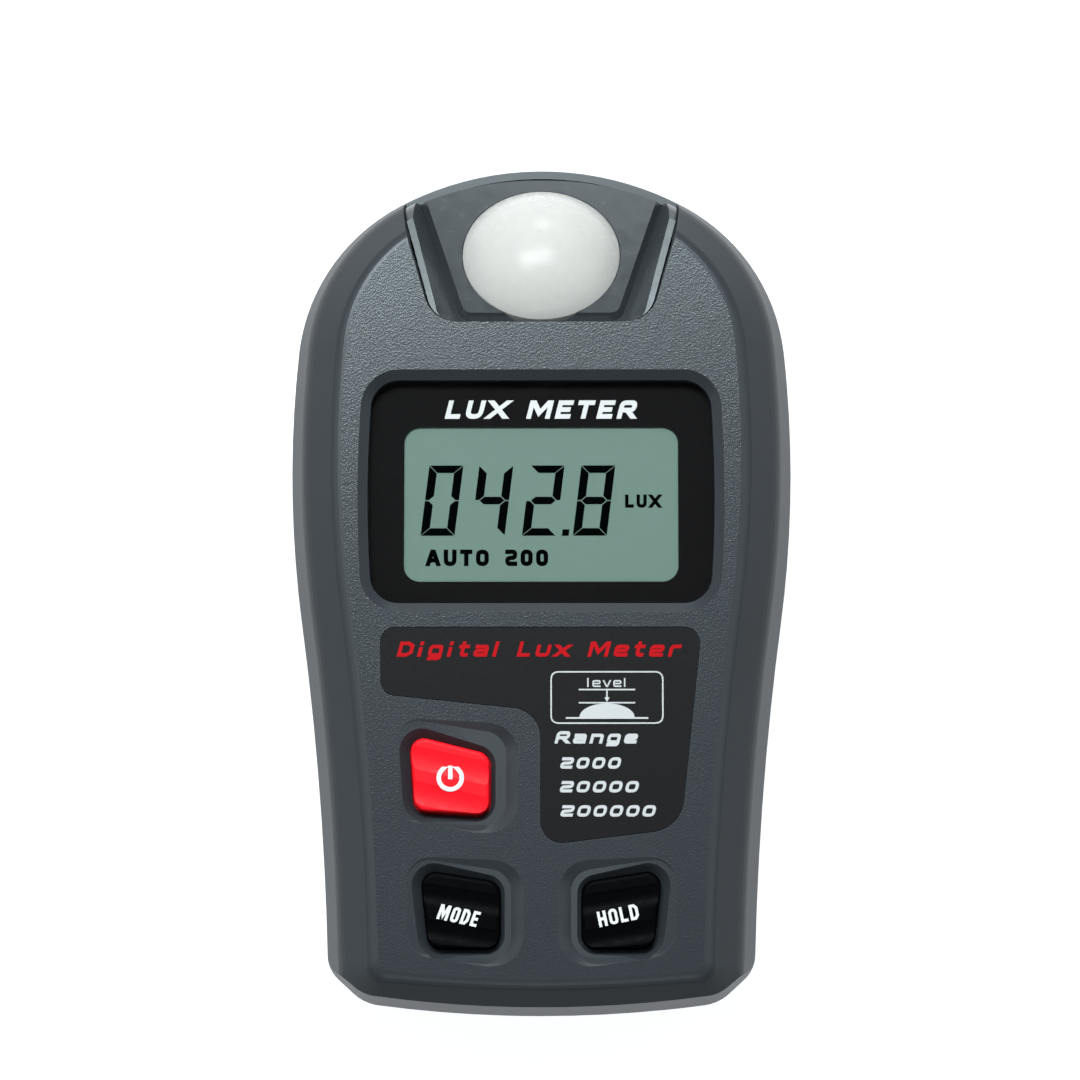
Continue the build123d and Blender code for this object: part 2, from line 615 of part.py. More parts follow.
with BuildPart() as back_shell:
    add(back_block.part)
    add(back_space.part, mode=Mode.SUBTRACT)
    add(foot_shelf.part)
    # lip that centres the front shell, left out under the sensor head
    with BuildSketch(Plane.XY.offset(PARTING_Z - LIP_HEIGHT)):
        case_outline(LIP_INSET)
        case_outline(LIP_INSET + LIP_THICK, mode=Mode.SUBTRACT)
        with Locations((0, LIP_END_Y + LENGTH / 2)):
            Rectangle(LENGTH, LENGTH, mode=Mode.SUBTRACT)
    extrude(amount=2 * LIP_HEIGHT)
    # battery bay, and the rails over the door's tongues
    with BuildSketch(Plane.XY.offset(WALL / 2)):
        with Locations((0, BAY_MIDDLE_Y)):
            Rectangle(2 * (BAY_HALF_X + BAY_WALL), BAY_LENGTH + 2 * BAY_WALL)
    extrude(amount=BAY_TOP_Z - WALL / 2)
    with BuildSketch(Plane.XY.offset(WALL / 2)):
        with Locations((0, (DOOR_HEAD_Y + BAY_FOOT_Y) / 2)):
            Rectangle(2 * RAIL_HALF_X, DOOR_HEAD_Y - BAY_FOOT_Y + 2 * WALL)
    extrude(amount=RAIL_TOP_Z - WALL / 2)
    with BuildSketch(Plane.XY):
        with Locations((0, BAY_MIDDLE_Y)):
            Rectangle(2 * BAY_HALF_X, BAY_LENGTH)
    extrude(amount=BAY_CEILING_Z, mode=Mode.SUBTRACT)
    # channel of the door: its plate, its tongues and its turned-up end
    with BuildSketch(Plane.XY):
        with Locations((0, (DOOR_HEAD_Y + DOOR_GAP - HALF_LENGTH - 1) / 2)):
            Rectangle(2 * (DOOR_HALF_X + DOOR_SIDE_GAP), DOOR_HEAD_Y + DOOR_GAP + HALF_LENGTH + 1)
    extrude(amount=CHANNEL_TOP_Z, mode=Mode.SUBTRACT)
    with BuildSketch(Plane.XY.offset(DOOR_TONGUE_Z - DOOR_SIDE_GAP)):
        with Locations((0, (DOOR_HEAD_Y + DOOR_GAP - HALF_LENGTH - 1) / 2)):
            Rectangle(
                2 * (DOOR_HALF_X + DOOR_TONGUE + DOOR_SIDE_GAP),
                DOOR_HEAD_Y + DOOR_GAP + HALF_LENGTH + 1,
            )
    extrude(amount=CHANNEL_TOP_Z - DOOR_TONGUE_Z + DOOR_SIDE_GAP, mode=Mode.SUBTRACT)
    with BuildSketch(Plane.XY):
        with Locations((0, (DOOR_END_Y + DOOR_GAP - HALF_LENGTH - 1) / 2)):
            Rectangle(2 * (DOOR_HALF_X + DOOR_SIDE_GAP), HALF_LENGTH + 1 + DOOR_END_Y + DOOR_GAP)
    extrude(amount=DOOR_END_Z + DOOR_GAP, mode=Mode.SUBTRACT)
    # relief that the door's foam pad slides through
    with BuildSketch(Plane.XY.offset(DOOR_THICK)):
        with Locations((0, BAY_FOOT_Y - 1)):
            Rectangle(2 * (FOAM_HALF_X + DOOR_GAP), 2.4)
    extrude(amount=FOAM_THICK + DOOR_GAP, mode=Mode.SUBTRACT)
    # slots for the contact tabs in the bay's head wall
    with BuildSketch(Plane.XZ.offset(-BAY_HEAD_Y)):
        with Locations((-CELL_X, TAB_Z), (CELL_X, TAB_Z)):
            Rectangle(TAB_WIDTH + 0.4, CONTACT_THICK + 0.4)
    extrude(amount=-BAY_WALL, mode=Mode.SUBTRACT)
    # posts, holes and counterbores of the case screws
    with BuildSketch(Plane.XY.offset(WALL / 2)):
        with Locations(*CASE_SCREWS):
            Circle(CASE_POST_RADIUS)
    extrude(amount=PARTING_Z - WALL / 2)
    with BuildSketch(Plane.XY):
        with Locations(*CASE_SCREWS):
            Circle(SCREW_RADIUS + 0.2)
    extrude(amount=PARTING_Z, mode=Mode.SUBTRACT)
    with BuildSketch(Plane.XY):
        with Locations(*CASE_SCREWS):
            Circle(SCREW_HEAD_RADIUS + 0.25)
    extrude(amount=CASE_SEAT_Z, mode=Mode.SUBTRACT)
    # recess for the blank rating plate
    with BuildSketch(Plane.XY):
        with Locations((0, RATING_Y)):
            RectangleRounded(RATING_WIDTH + 0.2, RATING_HEIGHT + 0.2, 1.6)
    extrude(amount=LABEL_RECESS, mode=Mode.SUBTRACT)
save(back_shell.part, "back_shell")

with BuildPart() as rating_label:
    with BuildSketch(Plane.XY.offset(LABEL_RECESS - LABEL_THICK)):
        with Locations((0, RATING_Y)):
            RectangleRounded(RATING_WIDTH, RATING_HEIGHT, 1.5)
    extrude(amount=LABEL_THICK)
save(rating_label.part, "rating_label")

# --- battery door ---------------------------------------------------------------------------
with BuildPart() as battery_door:
    with BuildSketch(Plane.XY):
        with Locations((0, (DOOR_HEAD_Y - HALF_LENGTH - 1) / 2)):
            Rectangle(2 * DOOR_HALF_X, DOOR_HEAD_Y + HALF_LENGTH + 1)
    extrude(amount=DOOR_THICK)
    with BuildSketch(Plane.XY.offset(DOOR_TONGUE_Z)):
        with Locations((0, (DOOR_HEAD_Y + DOOR_END_Y) / 2)):
            Rectangle(2 * (DOOR_HALF_X + DOOR_TONGUE), DOOR_HEAD_Y - DOOR_END_Y)
    extrude(amount=DOOR_THICK - DOOR_TONGUE_Z)
    with BuildSketch(Plane.XY):
        with Locations((0, (DOOR_END_Y - HALF_LENGTH - 1) / 2)):
            Rectangle(2 * DOOR_HALF_X, HALF_LENGTH + 1 + DOOR_END_Y)
    extrude(amount=DOOR_END_Z)
    add(back_block.part, mode=Mode.INTERSECT)
    # thumb grooves across the outer face
    with BuildSketch(Plane.XY):
        with GridLocations(0, GRIP_PITCH, 1, GRIP_COUNT):
            Rectangle(GRIP_WIDTH, GRIP_GROOVE)
    extrude(amount=GRIP_DEPTH, mode=Mode.SUBTRACT)
save(battery_door.part, "battery_door")

with BuildPart() as door_foam_pad:
    with BuildSketch(Plane.XY.offset(DOOR_THICK)):
        with Locations((0, sum(FOAM_SPAN_Y) / 2)):
            Rectangle(2 * FOAM_HALF_X, FOAM_SPAN_Y[1] - FOAM_SPAN_Y[0])
    extrude(amount=FOAM_THICK)
save(door_foam_pad.part, "door_foam_pad")

# --- cells and contacts ---------------------------------------------------------------------
# side of the meter, Y of the flat end, and the way the cell's positive end points
CELLS = [
    ("battery_left", -CELL_X, BAY_FOOT_Y + CONTACT_THICK + SPRING_LENGTH, 1),
    ("battery_right", CELL_X, BAY_HEAD_Y - CONTACT_THICK - SPRING_LENGTH, -1),
]
for name, cell_x, flat_y, way in CELLS:
    with BuildPart() as cell:
        with BuildSketch(Plane((cell_x, flat_y, CELL_Z), x_dir=(1, 0, 0), z_dir=(0, way, 0))):
            Circle(CELL_RADIUS)
        extrude(amount=CELL_LENGTH - CELL_NUB)
        fillet(cell.edges().filter_by(GeomType.CIRCLE), 0.4)
        with BuildSketch(Plane((cell_x, flat_y, CELL_Z), x_dir=(1, 0, 0), z_dir=(0, way, 0))):
            Circle(CELL_NUB_RADIUS)
        extrude(amount=CELL_LENGTH)
    save(cell.part, name)

# the spring of each cell presses on its flat end
SPRINGS = [
    ("foot_spring", -CELL_X, BAY_FOOT_Y + CONTACT_THICK, 1),
    ("head_spring", CELL_X, BAY_HEAD_Y - CONTACT_THICK, -1),
]
for name, spring_x, base_y, way in SPRINGS:
    start_y = base_y + way * SPRING_WIRE
    coil = Helix(
        pitch=(SPRING_LENGTH - 2 * SPRING_WIRE) / SPRING_TURNS,
        height=SPRING_LENGTH - 2 * SPRING_WIRE,
        radius=SPRING_RADIUS,
        center=(spring_x, start_y, CELL_Z),
        direction=(0, way, 0),
    )
    with BuildPart() as spring:
        with BuildSketch(Plane(coil @ 0, z_dir=coil % 0)):
            Circle(SPRING_WIRE)
        sweep(path=coil, is_frenet=True)
    save(spring.part, name)

# plates at the head end, with a tab through the bay's wall
for name, plate_x in (("positive_contact", -CELL_X), ("negative_contact", CELL_X)):
    with BuildPart() as plate:
        with BuildSketch(Plane.XZ.offset(-BAY_HEAD_Y)):
            with Locations((plate_x, CELL_Z)):
                RectangleRounded(CONTACT_SIDE, CONTACT_SIDE, 1)
        extrude(amount=CONTACT_THICK)
        with BuildSketch(Plane.XZ.offset(-BAY_HEAD_Y)):
            with Locations((plate_x, TAB_Z)):
                Rectangle(TAB_WIDTH, CONTACT_THICK)
        extrude(amount=-BAY_WALL - 0.8)
    save(plate.part, name)

with BuildPart() as bridge_contact:
    with BuildSketch(Plane.XZ.offset(-BAY_FOOT_Y)):
        with Locations((0, CELL_Z)):
            RectangleRounded(2 * CELL_X + CONTACT_SIDE, CONTACT_SIDE, 1)
    extrude(amount=-CONTACT_THICK)
save(bridge_contact.part, "bridge_contact")

for name, wire_x in (("positive_wire", -CELL_X), ("negative_wire", CELL_X)):
    wire_y = BAY_HEAD_Y + BAY_WALL + 0.5
    with BuildPart() as wire:
        with BuildLine():
            Spline(
                (wire_x, wire_y, TAB_Z + CONTACT_THICK / 2),
                (wire_x, wire_y + 0.9, TAB_Z + 2.2),
                (wire_x, wire_y + 1.4, BOARD_Z),
                tangents=((0, 0, 1), (0, 0, 1)),
            )
        with BuildSketch(Plane.XY.offset(TAB_Z + CONTACT_THICK / 2)):
            with Locations((wire_x, wire_y)):
                Circle(WIRE_RADIUS)
        sweep()
    save(wire.part, name)


# --- sensor head ----------------------------------------------------------------------------
with BuildPart() as sensor_head:
    with BuildSketch(Plane.XY.offset(DEPTH)):
        notch_outline(TRAY_GAP)
    extrude(amount=PARTING_Z + TRAY_GAP - DEPTH, taper=NOTCH_DRAFT)
    # bowl of the tray, from the floor up to the level of the face
    with BuildSketch(FLOOR_PLANE.offset(-BOWL_DEPTH)) as bowl_floor:
        bowl_outline(BOWL_FLOOR_HALF, BOWL_FLOOR_LEAN, 0, BOWL_LENGTH, BOWL_FLOOR_CORNER)
    with BuildSketch(Plane.XY.offset(DEPTH)) as bowl_mouth:
        bowl_outline(BOWL_MOUTH_HALF, BOWL_MOUTH_LEAN, BOWL_MOUTH_Y, BOWL_LENGTH, BOWL_MOUTH_CORNER)
    loft(sections=[bowl_floor.sketch, bowl_mouth.sketch], ruled=True, mode=Mode.SUBTRACT)
    # raised plateau around the dome
    with BuildSketch(FLOOR_PLANE.offset(-BOWL_DEPTH)):
        bowl_outline(
            PLATEAU_HALF + PLATEAU_SPREAD,
            PLATEAU_LEAN,
            PLATEAU_START - PLATEAU_SPREAD,
            BOWL_LENGTH,
            PLATEAU_CORNER,
        )
    extrude(amount=BOWL_DEPTH + PLATEAU_RISE, taper=PLATEAU_DRAFT)
    # rim that stays under the case's own shape, and the thin plate under the bowl
    with BuildSketch(Plane.XY.offset(PARTING_Z)):
        case_outline(HEAD_BAND + TRAY_GAP)
    extrude(amount=DEPTH - PARTING_Z, mode=Mode.INTERSECT)
    add(Pos(0, 0, -TRAY_RIM_DROP) * front_block.part, mode=Mode.INTERSECT)
    split(bisect_by=RIM_PLANE, keep=Keep.BOTTOM)
    split(bisect_by=floor_plane(-TRAY_PLATE), keep=Keep.TOP)
    with BuildSketch(floor_plane(-TRAY_PLATE)):
        Circle(DOME_RADIUS + TRAY_GAP)
    extrude(amount=TRAY_PLATE + PLATEAU_RISE, mode=Mode.SUBTRACT)
    # posts for the sensor board
    with BuildSketch(floor_plane(-TRAY_PLATE)):
        with Locations((-SENSOR_POST_X, 0), (SENSOR_POST_X, 0)):
            Circle(SENSOR_POST_RADIUS)
            Circle(SENSOR_SCREW_RADIUS + 0.05, mode=Mode.SUBTRACT)
    extrude(amount=-SENSOR_POST_LENGTH)
save(sensor_head.part, "sensor_head")

SKIRT_FOOT = -TRAY_PLATE - GASKET_THICK
with BuildPart() as diffuser_dome:
    with BuildSketch(floor_plane(SKIRT_FOOT)):
        Circle(DOME_RADIUS)
    extrude(amount=PLATEAU_RISE - SKIRT_FOOT)
    with BuildSketch(DOME_SECTION_PLANE):
        with BuildLine():
            crown = ThreePointArc((DOME_RADIUS, 0), DOME_ARC_MIDDLE, (0, DOME_HEIGHT))
            Line((0, DOME_HEIGHT), (0, 0))
            Line((0, 0), (DOME_RADIUS, 0))
        make_face()
    revolve(axis=Axis(DOME_SECTION_PLANE.origin, DOME_SECTION_PLANE.y_dir))
    with BuildSketch(floor_plane(SKIRT_FOOT)):
        Circle(DOME_FLANGE_RADIUS)
    extrude(amount=-DOME_FLANGE)
    # hollow under the crown
    with BuildSketch(floor_plane(SKIRT_FOOT - DOME_FLANGE)):
        Circle(DOME_RADIUS - DOME_WALL)
    extrude(amount=DOME_FLANGE - SKIRT_FOOT + PLATEAU_RISE, mode=Mode.SUBTRACT)
save(diffuser_dome.part, "diffuser_dome")

with BuildPart() as dome_gasket:
    with BuildSketch(floor_plane(SKIRT_FOOT)):
        Circle(DOME_FLANGE_RADIUS)
        Circle(DOME_RADIUS + TRAY_GAP, mode=Mode.SUBTRACT)
    extrude(amount=GASKET_THICK)
save(dome_gasket.part, "dome_gasket")

SENSOR_BOARD_TOP = -TRAY_PLATE - SENSOR_POST_LENGTH
with BuildPart() as sensor_board:
    with BuildSketch(floor_plane(SENSOR_BOARD_TOP)):
        RectangleRounded(SENSOR_BOARD_WIDTH, SENSOR_BOARD_HEIGHT, 1.5)
        with Locations((-SENSOR_POST_X, 0), (SENSOR_POST_X, 0)):
            Circle(SENSOR_SCREW_RADIUS + 0.1, mode=Mode.SUBTRACT)
    extrude(amount=-SENSOR_BOARD_THICK)
save(sensor_board.part, "sensor_board")

with BuildPart() as photodiode:
    with BuildSketch(floor_plane(SENSOR_BOARD_TOP)):
        RectangleRounded(PHOTODIODE_SIDE, PHOTODIODE_SIDE, 0.4)
    extrude(amount=PHOTODIODE_HEIGHT)
save(photodiode.part, "photodiode")

with BuildPart() as colour_filter:
    with BuildSketch(floor_plane(SENSOR_BOARD_TOP + PHOTODIODE_HEIGHT)):
        Circle(FILTER_RADIUS)
    extrude(amount=FILTER_THICK)
save(colour_filter.part, "colour_filter")

with BuildPart() as sensor_screws:
    with BuildSketch(floor_plane(SENSOR_BOARD_TOP - SENSOR_BOARD_THICK)):
        with Locations((-SENSOR_POST_X, 0), (SENSOR_POST_X, 0)):
            Circle(2 * SENSOR_SCREW_RADIUS)
    extrude(amount=-SENSOR_SCREW_HEAD)
    with BuildSketch(floor_plane(SENSOR_BOARD_TOP - SENSOR_BOARD_THICK)):
        with Locations((-SENSOR_POST_X, 0), (SENSOR_POST_X, 0)):
            Circle(SENSOR_SCREW_RADIUS)
    extrude(amount=SENSOR_BOARD_THICK + SENSOR_POST_LENGTH - 1)
    with BuildSketch(floor_plane(SENSOR_BOARD_TOP - SENSOR_BOARD_THICK - SENSOR_SCREW_HEAD)):
        with Locations((-SENSOR_POST_X, 0), (SENSOR_POST_X, 0)):
            Rectangle(2.2, 0.4)
            Rectangle(0.4, 2.2)
    extrude(amount=0.5, mode=Mode.SUBTRACT)
save(sensor_screws.part, "sensor_screws")

# --- display --------------------------------------------------------------------------------
with BuildPart() as display_lens:
    with BuildSketch(Plane.XY.offset(PANEL_TOP_Z - LENS_THICK)):
        panel_outline(PANEL_GAP)
    extrude(amount=LENS_THICK)
    chamfer(faces().sort_by(Axis.Z)[-1].edges(), 0.15)
save(display_lens.part, "display_lens")

with BuildPart() as display_mask:
    with BuildSketch(Plane.XY.offset(LENS_FOOT_Z)):
        panel_outline(PANEL_GAP)
        window_outline(mode=Mode.SUBTRACT)
    extrude(amount=MASK_THICK - MASK_GAP)
save(display_mask.part, "display_mask")

# glass of the display, seen through the window: name, half height, top and thickness
LCD_LAYERS = [
    ("lcd_front_glass", LCD_HALF_Y + LCD_LEDGE, LCD_TOP_Z, LCD_GLASS),
    ("lcd_rear_glass", LCD_HALF_Y, LCD_TOP_Z - LCD_GLASS, LCD_GLASS),
    ("lcd_reflector", LCD_HALF_Y, LCD_TOP_Z - 2 * LCD_GLASS, LCD_REFLECTOR),
]
for name, half_y, top_z, thick in LCD_LAYERS:
    with BuildPart() as layer:
        with BuildSketch(Plane.XY.offset(top_z)):
            with Locations((0, WINDOW_MIDDLE_Y)):
                Rectangle(2 * LCD_HALF_X, 2 * half_y)
        extrude(amount=-thick)
    save(layer.part, name)

# rubber strips that join the ledges of the front glass to the board
for name, side in (("zebra_strip_head", 1), ("zebra_strip_foot", -1)):
    with BuildPart() as strip:
        with BuildSketch(Plane.XY.offset(BOARD_TOP_Z)):
            with Locations((0, WINDOW_MIDDLE_Y + side * (LCD_HALF_Y + LCD_LEDGE / 2 + 0.15))):
                Rectangle(2 * LCD_HALF_X - 2, LCD_LEDGE - 0.3)
        extrude(amount=LCD_TOP_Z - LCD_GLASS - BOARD_TOP_Z)
    save(strip.part, name)

with BuildPart() as lcd_frame:
    with BuildSketch(Plane.XY.offset(BOARD_TOP_Z)):
        with Locations((0, WINDOW_MIDDLE_Y)):
            RectangleRounded(2 * LCD_HALF_X + 3, 2 * (LCD_HALF_Y + LCD_LEDGE) + 3, 1)
            Rectangle(
                2 * LCD_HALF_X + 0.2,
                2 * (LCD_HALF_Y + LCD_LEDGE) + 0.2,
                mode=Mode.SUBTRACT,
            )
    extrude(amount=LEDGE_Z - FRAME_GAP - BOARD_TOP_Z)
save(lcd_frame.part, "lcd_frame")

with BuildPart() as front_label:
    with BuildSketch(Plane.XY.offset(DEPTH - LABEL_RECESS)):
        label_outline(0.08)
    extrude(amount=LABEL_THICK)
save(front_label.part, "front_label")

# --- keys and their switches ----------------------------------------------------------------
# name, outline, switch centre, and which way the key's grooves fall
KEYS = [
    ("power", POWER_CORNERS, POWER_CENTRE, -13.0, POWER_GROOVE),
    ("mode", MODE_CORNERS, MODE_CENTRE, -9.2, KEY_GROOVE),
    ("hold", HOLD_CORNERS, HOLD_CENTRE, 9.2, KEY_GROOVE),
]
for name, corners, centre, lean, groove in KEYS:
    with BuildPart() as key:
        with BuildSketch(Plane.XY.offset(KEY_FLANGE_Z[0])):
            rounded_polygon(corners, KEY_CORNER)
        extrude(amount=KEY_TOP_Z - KEY_FLANGE_Z[0])
        fillet(faces().sort_by(Axis.Z)[-1].edges(), KEY_EDGE_RADIUS)
        # two shallow grooves across the cap leave a raised band between them
        for groove_y in GROOVE_PLACES:
            middle = Location((centre[0], centre[1] + groove_y, KEY_TOP_Z + groove[0] - groove[1]))
            roller = Cylinder(groove[0], ROLLER_LENGTH, mode=Mode.PRIVATE)
            add(middle * Rotation(0, 0, lean) * Rotation(0, 90, 0) * roller, mode=Mode.SUBTRACT)
        with BuildSketch(Plane.XY.offset(KEY_FLANGE_Z[0])):
            rounded_polygon(corners, KEY_CORNER)
            offset(amount=KEY_FLANGE)
        extrude(amount=KEY_FLANGE_Z[1] - KEY_FLANGE_Z[0])
        with BuildSketch(Plane.XY.offset(PLUNGER_TOP_Z)):
            with Locations(centre):
                Circle(PLUNGER_RADIUS)
        extrude(amount=KEY_FLANGE_Z[0] - PLUNGER_TOP_Z)
    save(key.part, f"{name}_key")

    with BuildPart() as plunger:
        with BuildSketch(Plane.XY.offset(PLUNGER_TOP_Z - PLUNGER_LENGTH)):
            with Locations(centre):
                Circle(PLUNGER_RADIUS)
        extrude(amount=PLUNGER_LENGTH)
    save(plunger.part, f"{name}_switch_plunger")

    with BuildPart() as switch:
        with BuildSketch(Plane.XY.offset(BOARD_TOP_Z)):
            with Locations(centre):
                RectangleRounded(SWITCH_SIDE, SWITCH_SIDE, 0.5)
        extrude(amount=SWITCH_HEIGHT)
        with BuildSketch(Plane.XY.offset(PLUNGER_TOP_Z - PLUNGER_LENGTH - KEY_TRAVEL - 0.2)):
            with Locations(centre):
                Circle(PLUNGER_RADIUS + 0.15)
        extrude(amount=SWITCH_HEIGHT, mode=Mode.SUBTRACT)
        with BuildSketch(Plane.XY.offset(BOARD_TOP_Z)):
            with Locations(centre):
                with GridLocations(SWITCH_SIDE + 1, SWITCH_SIDE - 1.4, 2, 2):
                    Rectangle(1.2, 0.7)
        extrude(amount=0.3)
    save(switch.part, f"{name}_switch_body")

# --- main board -----------------------------------------------------------------------------
with BuildPart() as main_board:
    with BuildSketch(Plane.XY.offset(BOARD_Z)):
        with BuildLine():
            Polyline(*BOARD_CORNERS)
            mirror(about=Plane.YZ)
        make_face()
        fillet(vertices().filter_by(lambda corner: abs(corner.X) > 1), BOARD_CORNER)
        with Locations(*BOARD_SCREWS):
            Circle(SCREW_RADIUS + 0.15, mode=Mode.SUBTRACT)
    extrude(amount=BOARD_THICK)
save(main_board.part, "main_board")

# chips, can and small parts on the board's upper side
with BuildPart() as controller_chip:
    with BuildSketch(Plane.XY.offset(BOARD_TOP_Z)):
        with Locations(CONTROLLER_PLACE):
            Ellipse(*CONTROLLER_RADII)
    extrude(amount=CONTROLLER_HEIGHT)
    fillet(edges().group_by(Axis.Z)[-1], CONTROLLER_EDGE)
save(controller_chip.part, "controller_chip")

with BuildPart() as amplifier_chip:
    with BuildSketch(Plane.XY.offset(BOARD_TOP_Z)):
        with Locations(AMPLIFIER_PLACE):
            Rectangle(*AMPLIFIER_SIZE)
    extrude(amount=AMPLIFIER_HEIGHT)
    with BuildSketch(Plane.XY.offset(BOARD_TOP_Z)):
        with Locations(AMPLIFIER_PLACE):
            with GridLocations(PIN_PITCH, AMPLIFIER_SIZE[1] + PIN_SIZE[1] - 0.2, 4, 2):
                Rectangle(*PIN_SIZE)
    extrude(amount=PIN_THICK)
save(amplifier_chip.part, "amplifier_chip")

with BuildPart() as crystal:
    with BuildSketch(Plane.YZ.offset(CRYSTAL_PLACE[0])):
        with Locations((CRYSTAL_PLACE[1], BOARD_TOP_Z + CRYSTAL_RADIUS)):
            Circle(CRYSTAL_RADIUS)
    extrude(amount=CRYSTAL_LENGTH)
save(crystal.part, "crystal")

with BuildPart() as capacitors:
    with BuildSketch(Plane.XY.offset(BOARD_TOP_Z)):
        with Locations(*CAPACITOR_PLACES):
            Circle(CAPACITOR_RADIUS)
    extrude(amount=CAPACITOR_HEIGHT)
save(capacitors.part, "capacitors")

with BuildPart() as resistors:
    with BuildSketch(Plane.XY.offset(BOARD_TOP_Z)):
        with Locations(RESISTORS_PLACE):
            with GridLocations(*RESISTOR_PITCH, 2, 4):
                Rectangle(*RESISTOR_SIZE)
    extrude(amount=RESISTOR_THICK)
save(resistors.part, "resistors")

with BuildPart() as calibration_trimmer:
    with BuildSketch(Plane.XY.offset(BOARD_TOP_Z)):
        with Locations(TRIMMER_PLACE):
            Rectangle(TRIMMER_SIDE, TRIMMER_SIDE)
    extrude(amount=TRIMMER_HEIGHT)
    with BuildSketch(Plane.XY.offset(BOARD_TOP_Z + TRIMMER_HEIGHT)):
        with Locations(TRIMMER_PLACE):
            Circle(TRIMMER_DIAL_RADIUS)
            Rectangle(*TRIMMER_SLOT, rotation=30, mode=Mode.SUBTRACT)
    extrude(amount=TRIMMER_DIAL_HEIGHT)
save(calibration_trimmer.part, "calibration_trimmer")

# --- screws ---------------------------------------------------------------------------------
# name, places, underside of the head and length of the shank
SCREWS = [
    ("case_screws", CASE_SCREWS, CASE_SEAT_Z, CASE_SCREW_LENGTH),
    ("board_screws", BOARD_SCREWS, BOARD_Z, BOARD_SCREW_LENGTH),
]
for name, places, seat_z, length in SCREWS:
    with BuildPart() as screws:
        with BuildSketch(Plane.XY.offset(seat_z)):
            with Locations(*places):
                Circle(SCREW_HEAD_RADIUS)
        extrude(amount=-SCREW_HEAD_HEIGHT)
        with BuildSketch(Plane.XY.offset(seat_z)):
            with Locations(*places):
                Circle(SCREW_RADIUS)
        extrude(amount=length)
        # cross recess
        with BuildSketch(Plane.XY.offset(seat_z - SCREW_HEAD_HEIGHT)):
            with Locations(*places):
                Rectangle(CROSS_LENGTH, CROSS_WIDTH)
                Rectangle(CROSS_WIDTH, CROSS_LENGTH)
        extrude(amount=CROSS_DEPTH, mode=Mode.SUBTRACT)
    save(screws.part, name)

# pair of leads from the sensor board to the main board
for name, wire_x in (("sensor_wire_left", -1.2), ("sensor_wire_right", 1.2)):
    start = floor_plane(SENSOR_BOARD_TOP).from_local_coords((wire_x, -SENSOR_BOARD_HEIGHT / 2 + 1.2, 0))
    with BuildPart() as wire:
        with BuildLine() as path:
            Spline(
                start,
                (wire_x, BOARD_HEAD_Y + 1.2, BOARD_TOP_Z + 2.0),
                (wire_x, BOARD_HEAD_Y - 1.8, BOARD_TOP_Z),
                tangents=(FLOOR_NORMAL, (0, 0, -1)),
            )
        with BuildSketch(Plane(start, x_dir=(1, 0, 0), z_dir=FLOOR_NORMAL)):
            Circle(WIRE_RADIUS)
        sweep(path=path.wire())
    save(wire.part, name)
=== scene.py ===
"""Looks of the handheld light meter: finishes, lettering, the display's figures, the studio."""
import math

import bmesh
import bpy
from mathutils import Matrix, Vector
from mathutils.geometry import delaunay_2d_cdt


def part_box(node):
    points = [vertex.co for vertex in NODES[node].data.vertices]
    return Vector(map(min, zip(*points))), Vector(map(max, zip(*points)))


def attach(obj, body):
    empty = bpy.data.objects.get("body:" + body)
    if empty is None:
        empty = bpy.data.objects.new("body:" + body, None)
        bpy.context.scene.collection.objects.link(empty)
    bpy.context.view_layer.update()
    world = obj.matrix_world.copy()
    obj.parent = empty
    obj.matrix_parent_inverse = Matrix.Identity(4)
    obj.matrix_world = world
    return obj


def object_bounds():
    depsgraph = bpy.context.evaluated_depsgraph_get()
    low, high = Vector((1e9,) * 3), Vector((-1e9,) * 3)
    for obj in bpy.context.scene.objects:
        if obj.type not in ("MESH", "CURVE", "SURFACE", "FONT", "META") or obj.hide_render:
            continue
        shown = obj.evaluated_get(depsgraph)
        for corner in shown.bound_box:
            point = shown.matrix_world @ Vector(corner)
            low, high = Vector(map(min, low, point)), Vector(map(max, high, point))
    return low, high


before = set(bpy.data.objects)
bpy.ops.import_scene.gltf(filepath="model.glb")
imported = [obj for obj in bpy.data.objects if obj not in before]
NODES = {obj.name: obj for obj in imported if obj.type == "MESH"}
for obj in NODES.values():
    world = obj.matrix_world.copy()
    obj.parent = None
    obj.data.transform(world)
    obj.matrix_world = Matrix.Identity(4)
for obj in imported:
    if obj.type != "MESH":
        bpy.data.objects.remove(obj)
CAD_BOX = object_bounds()
MM = 0.001


# ---------------------------------------------------------------- finishes

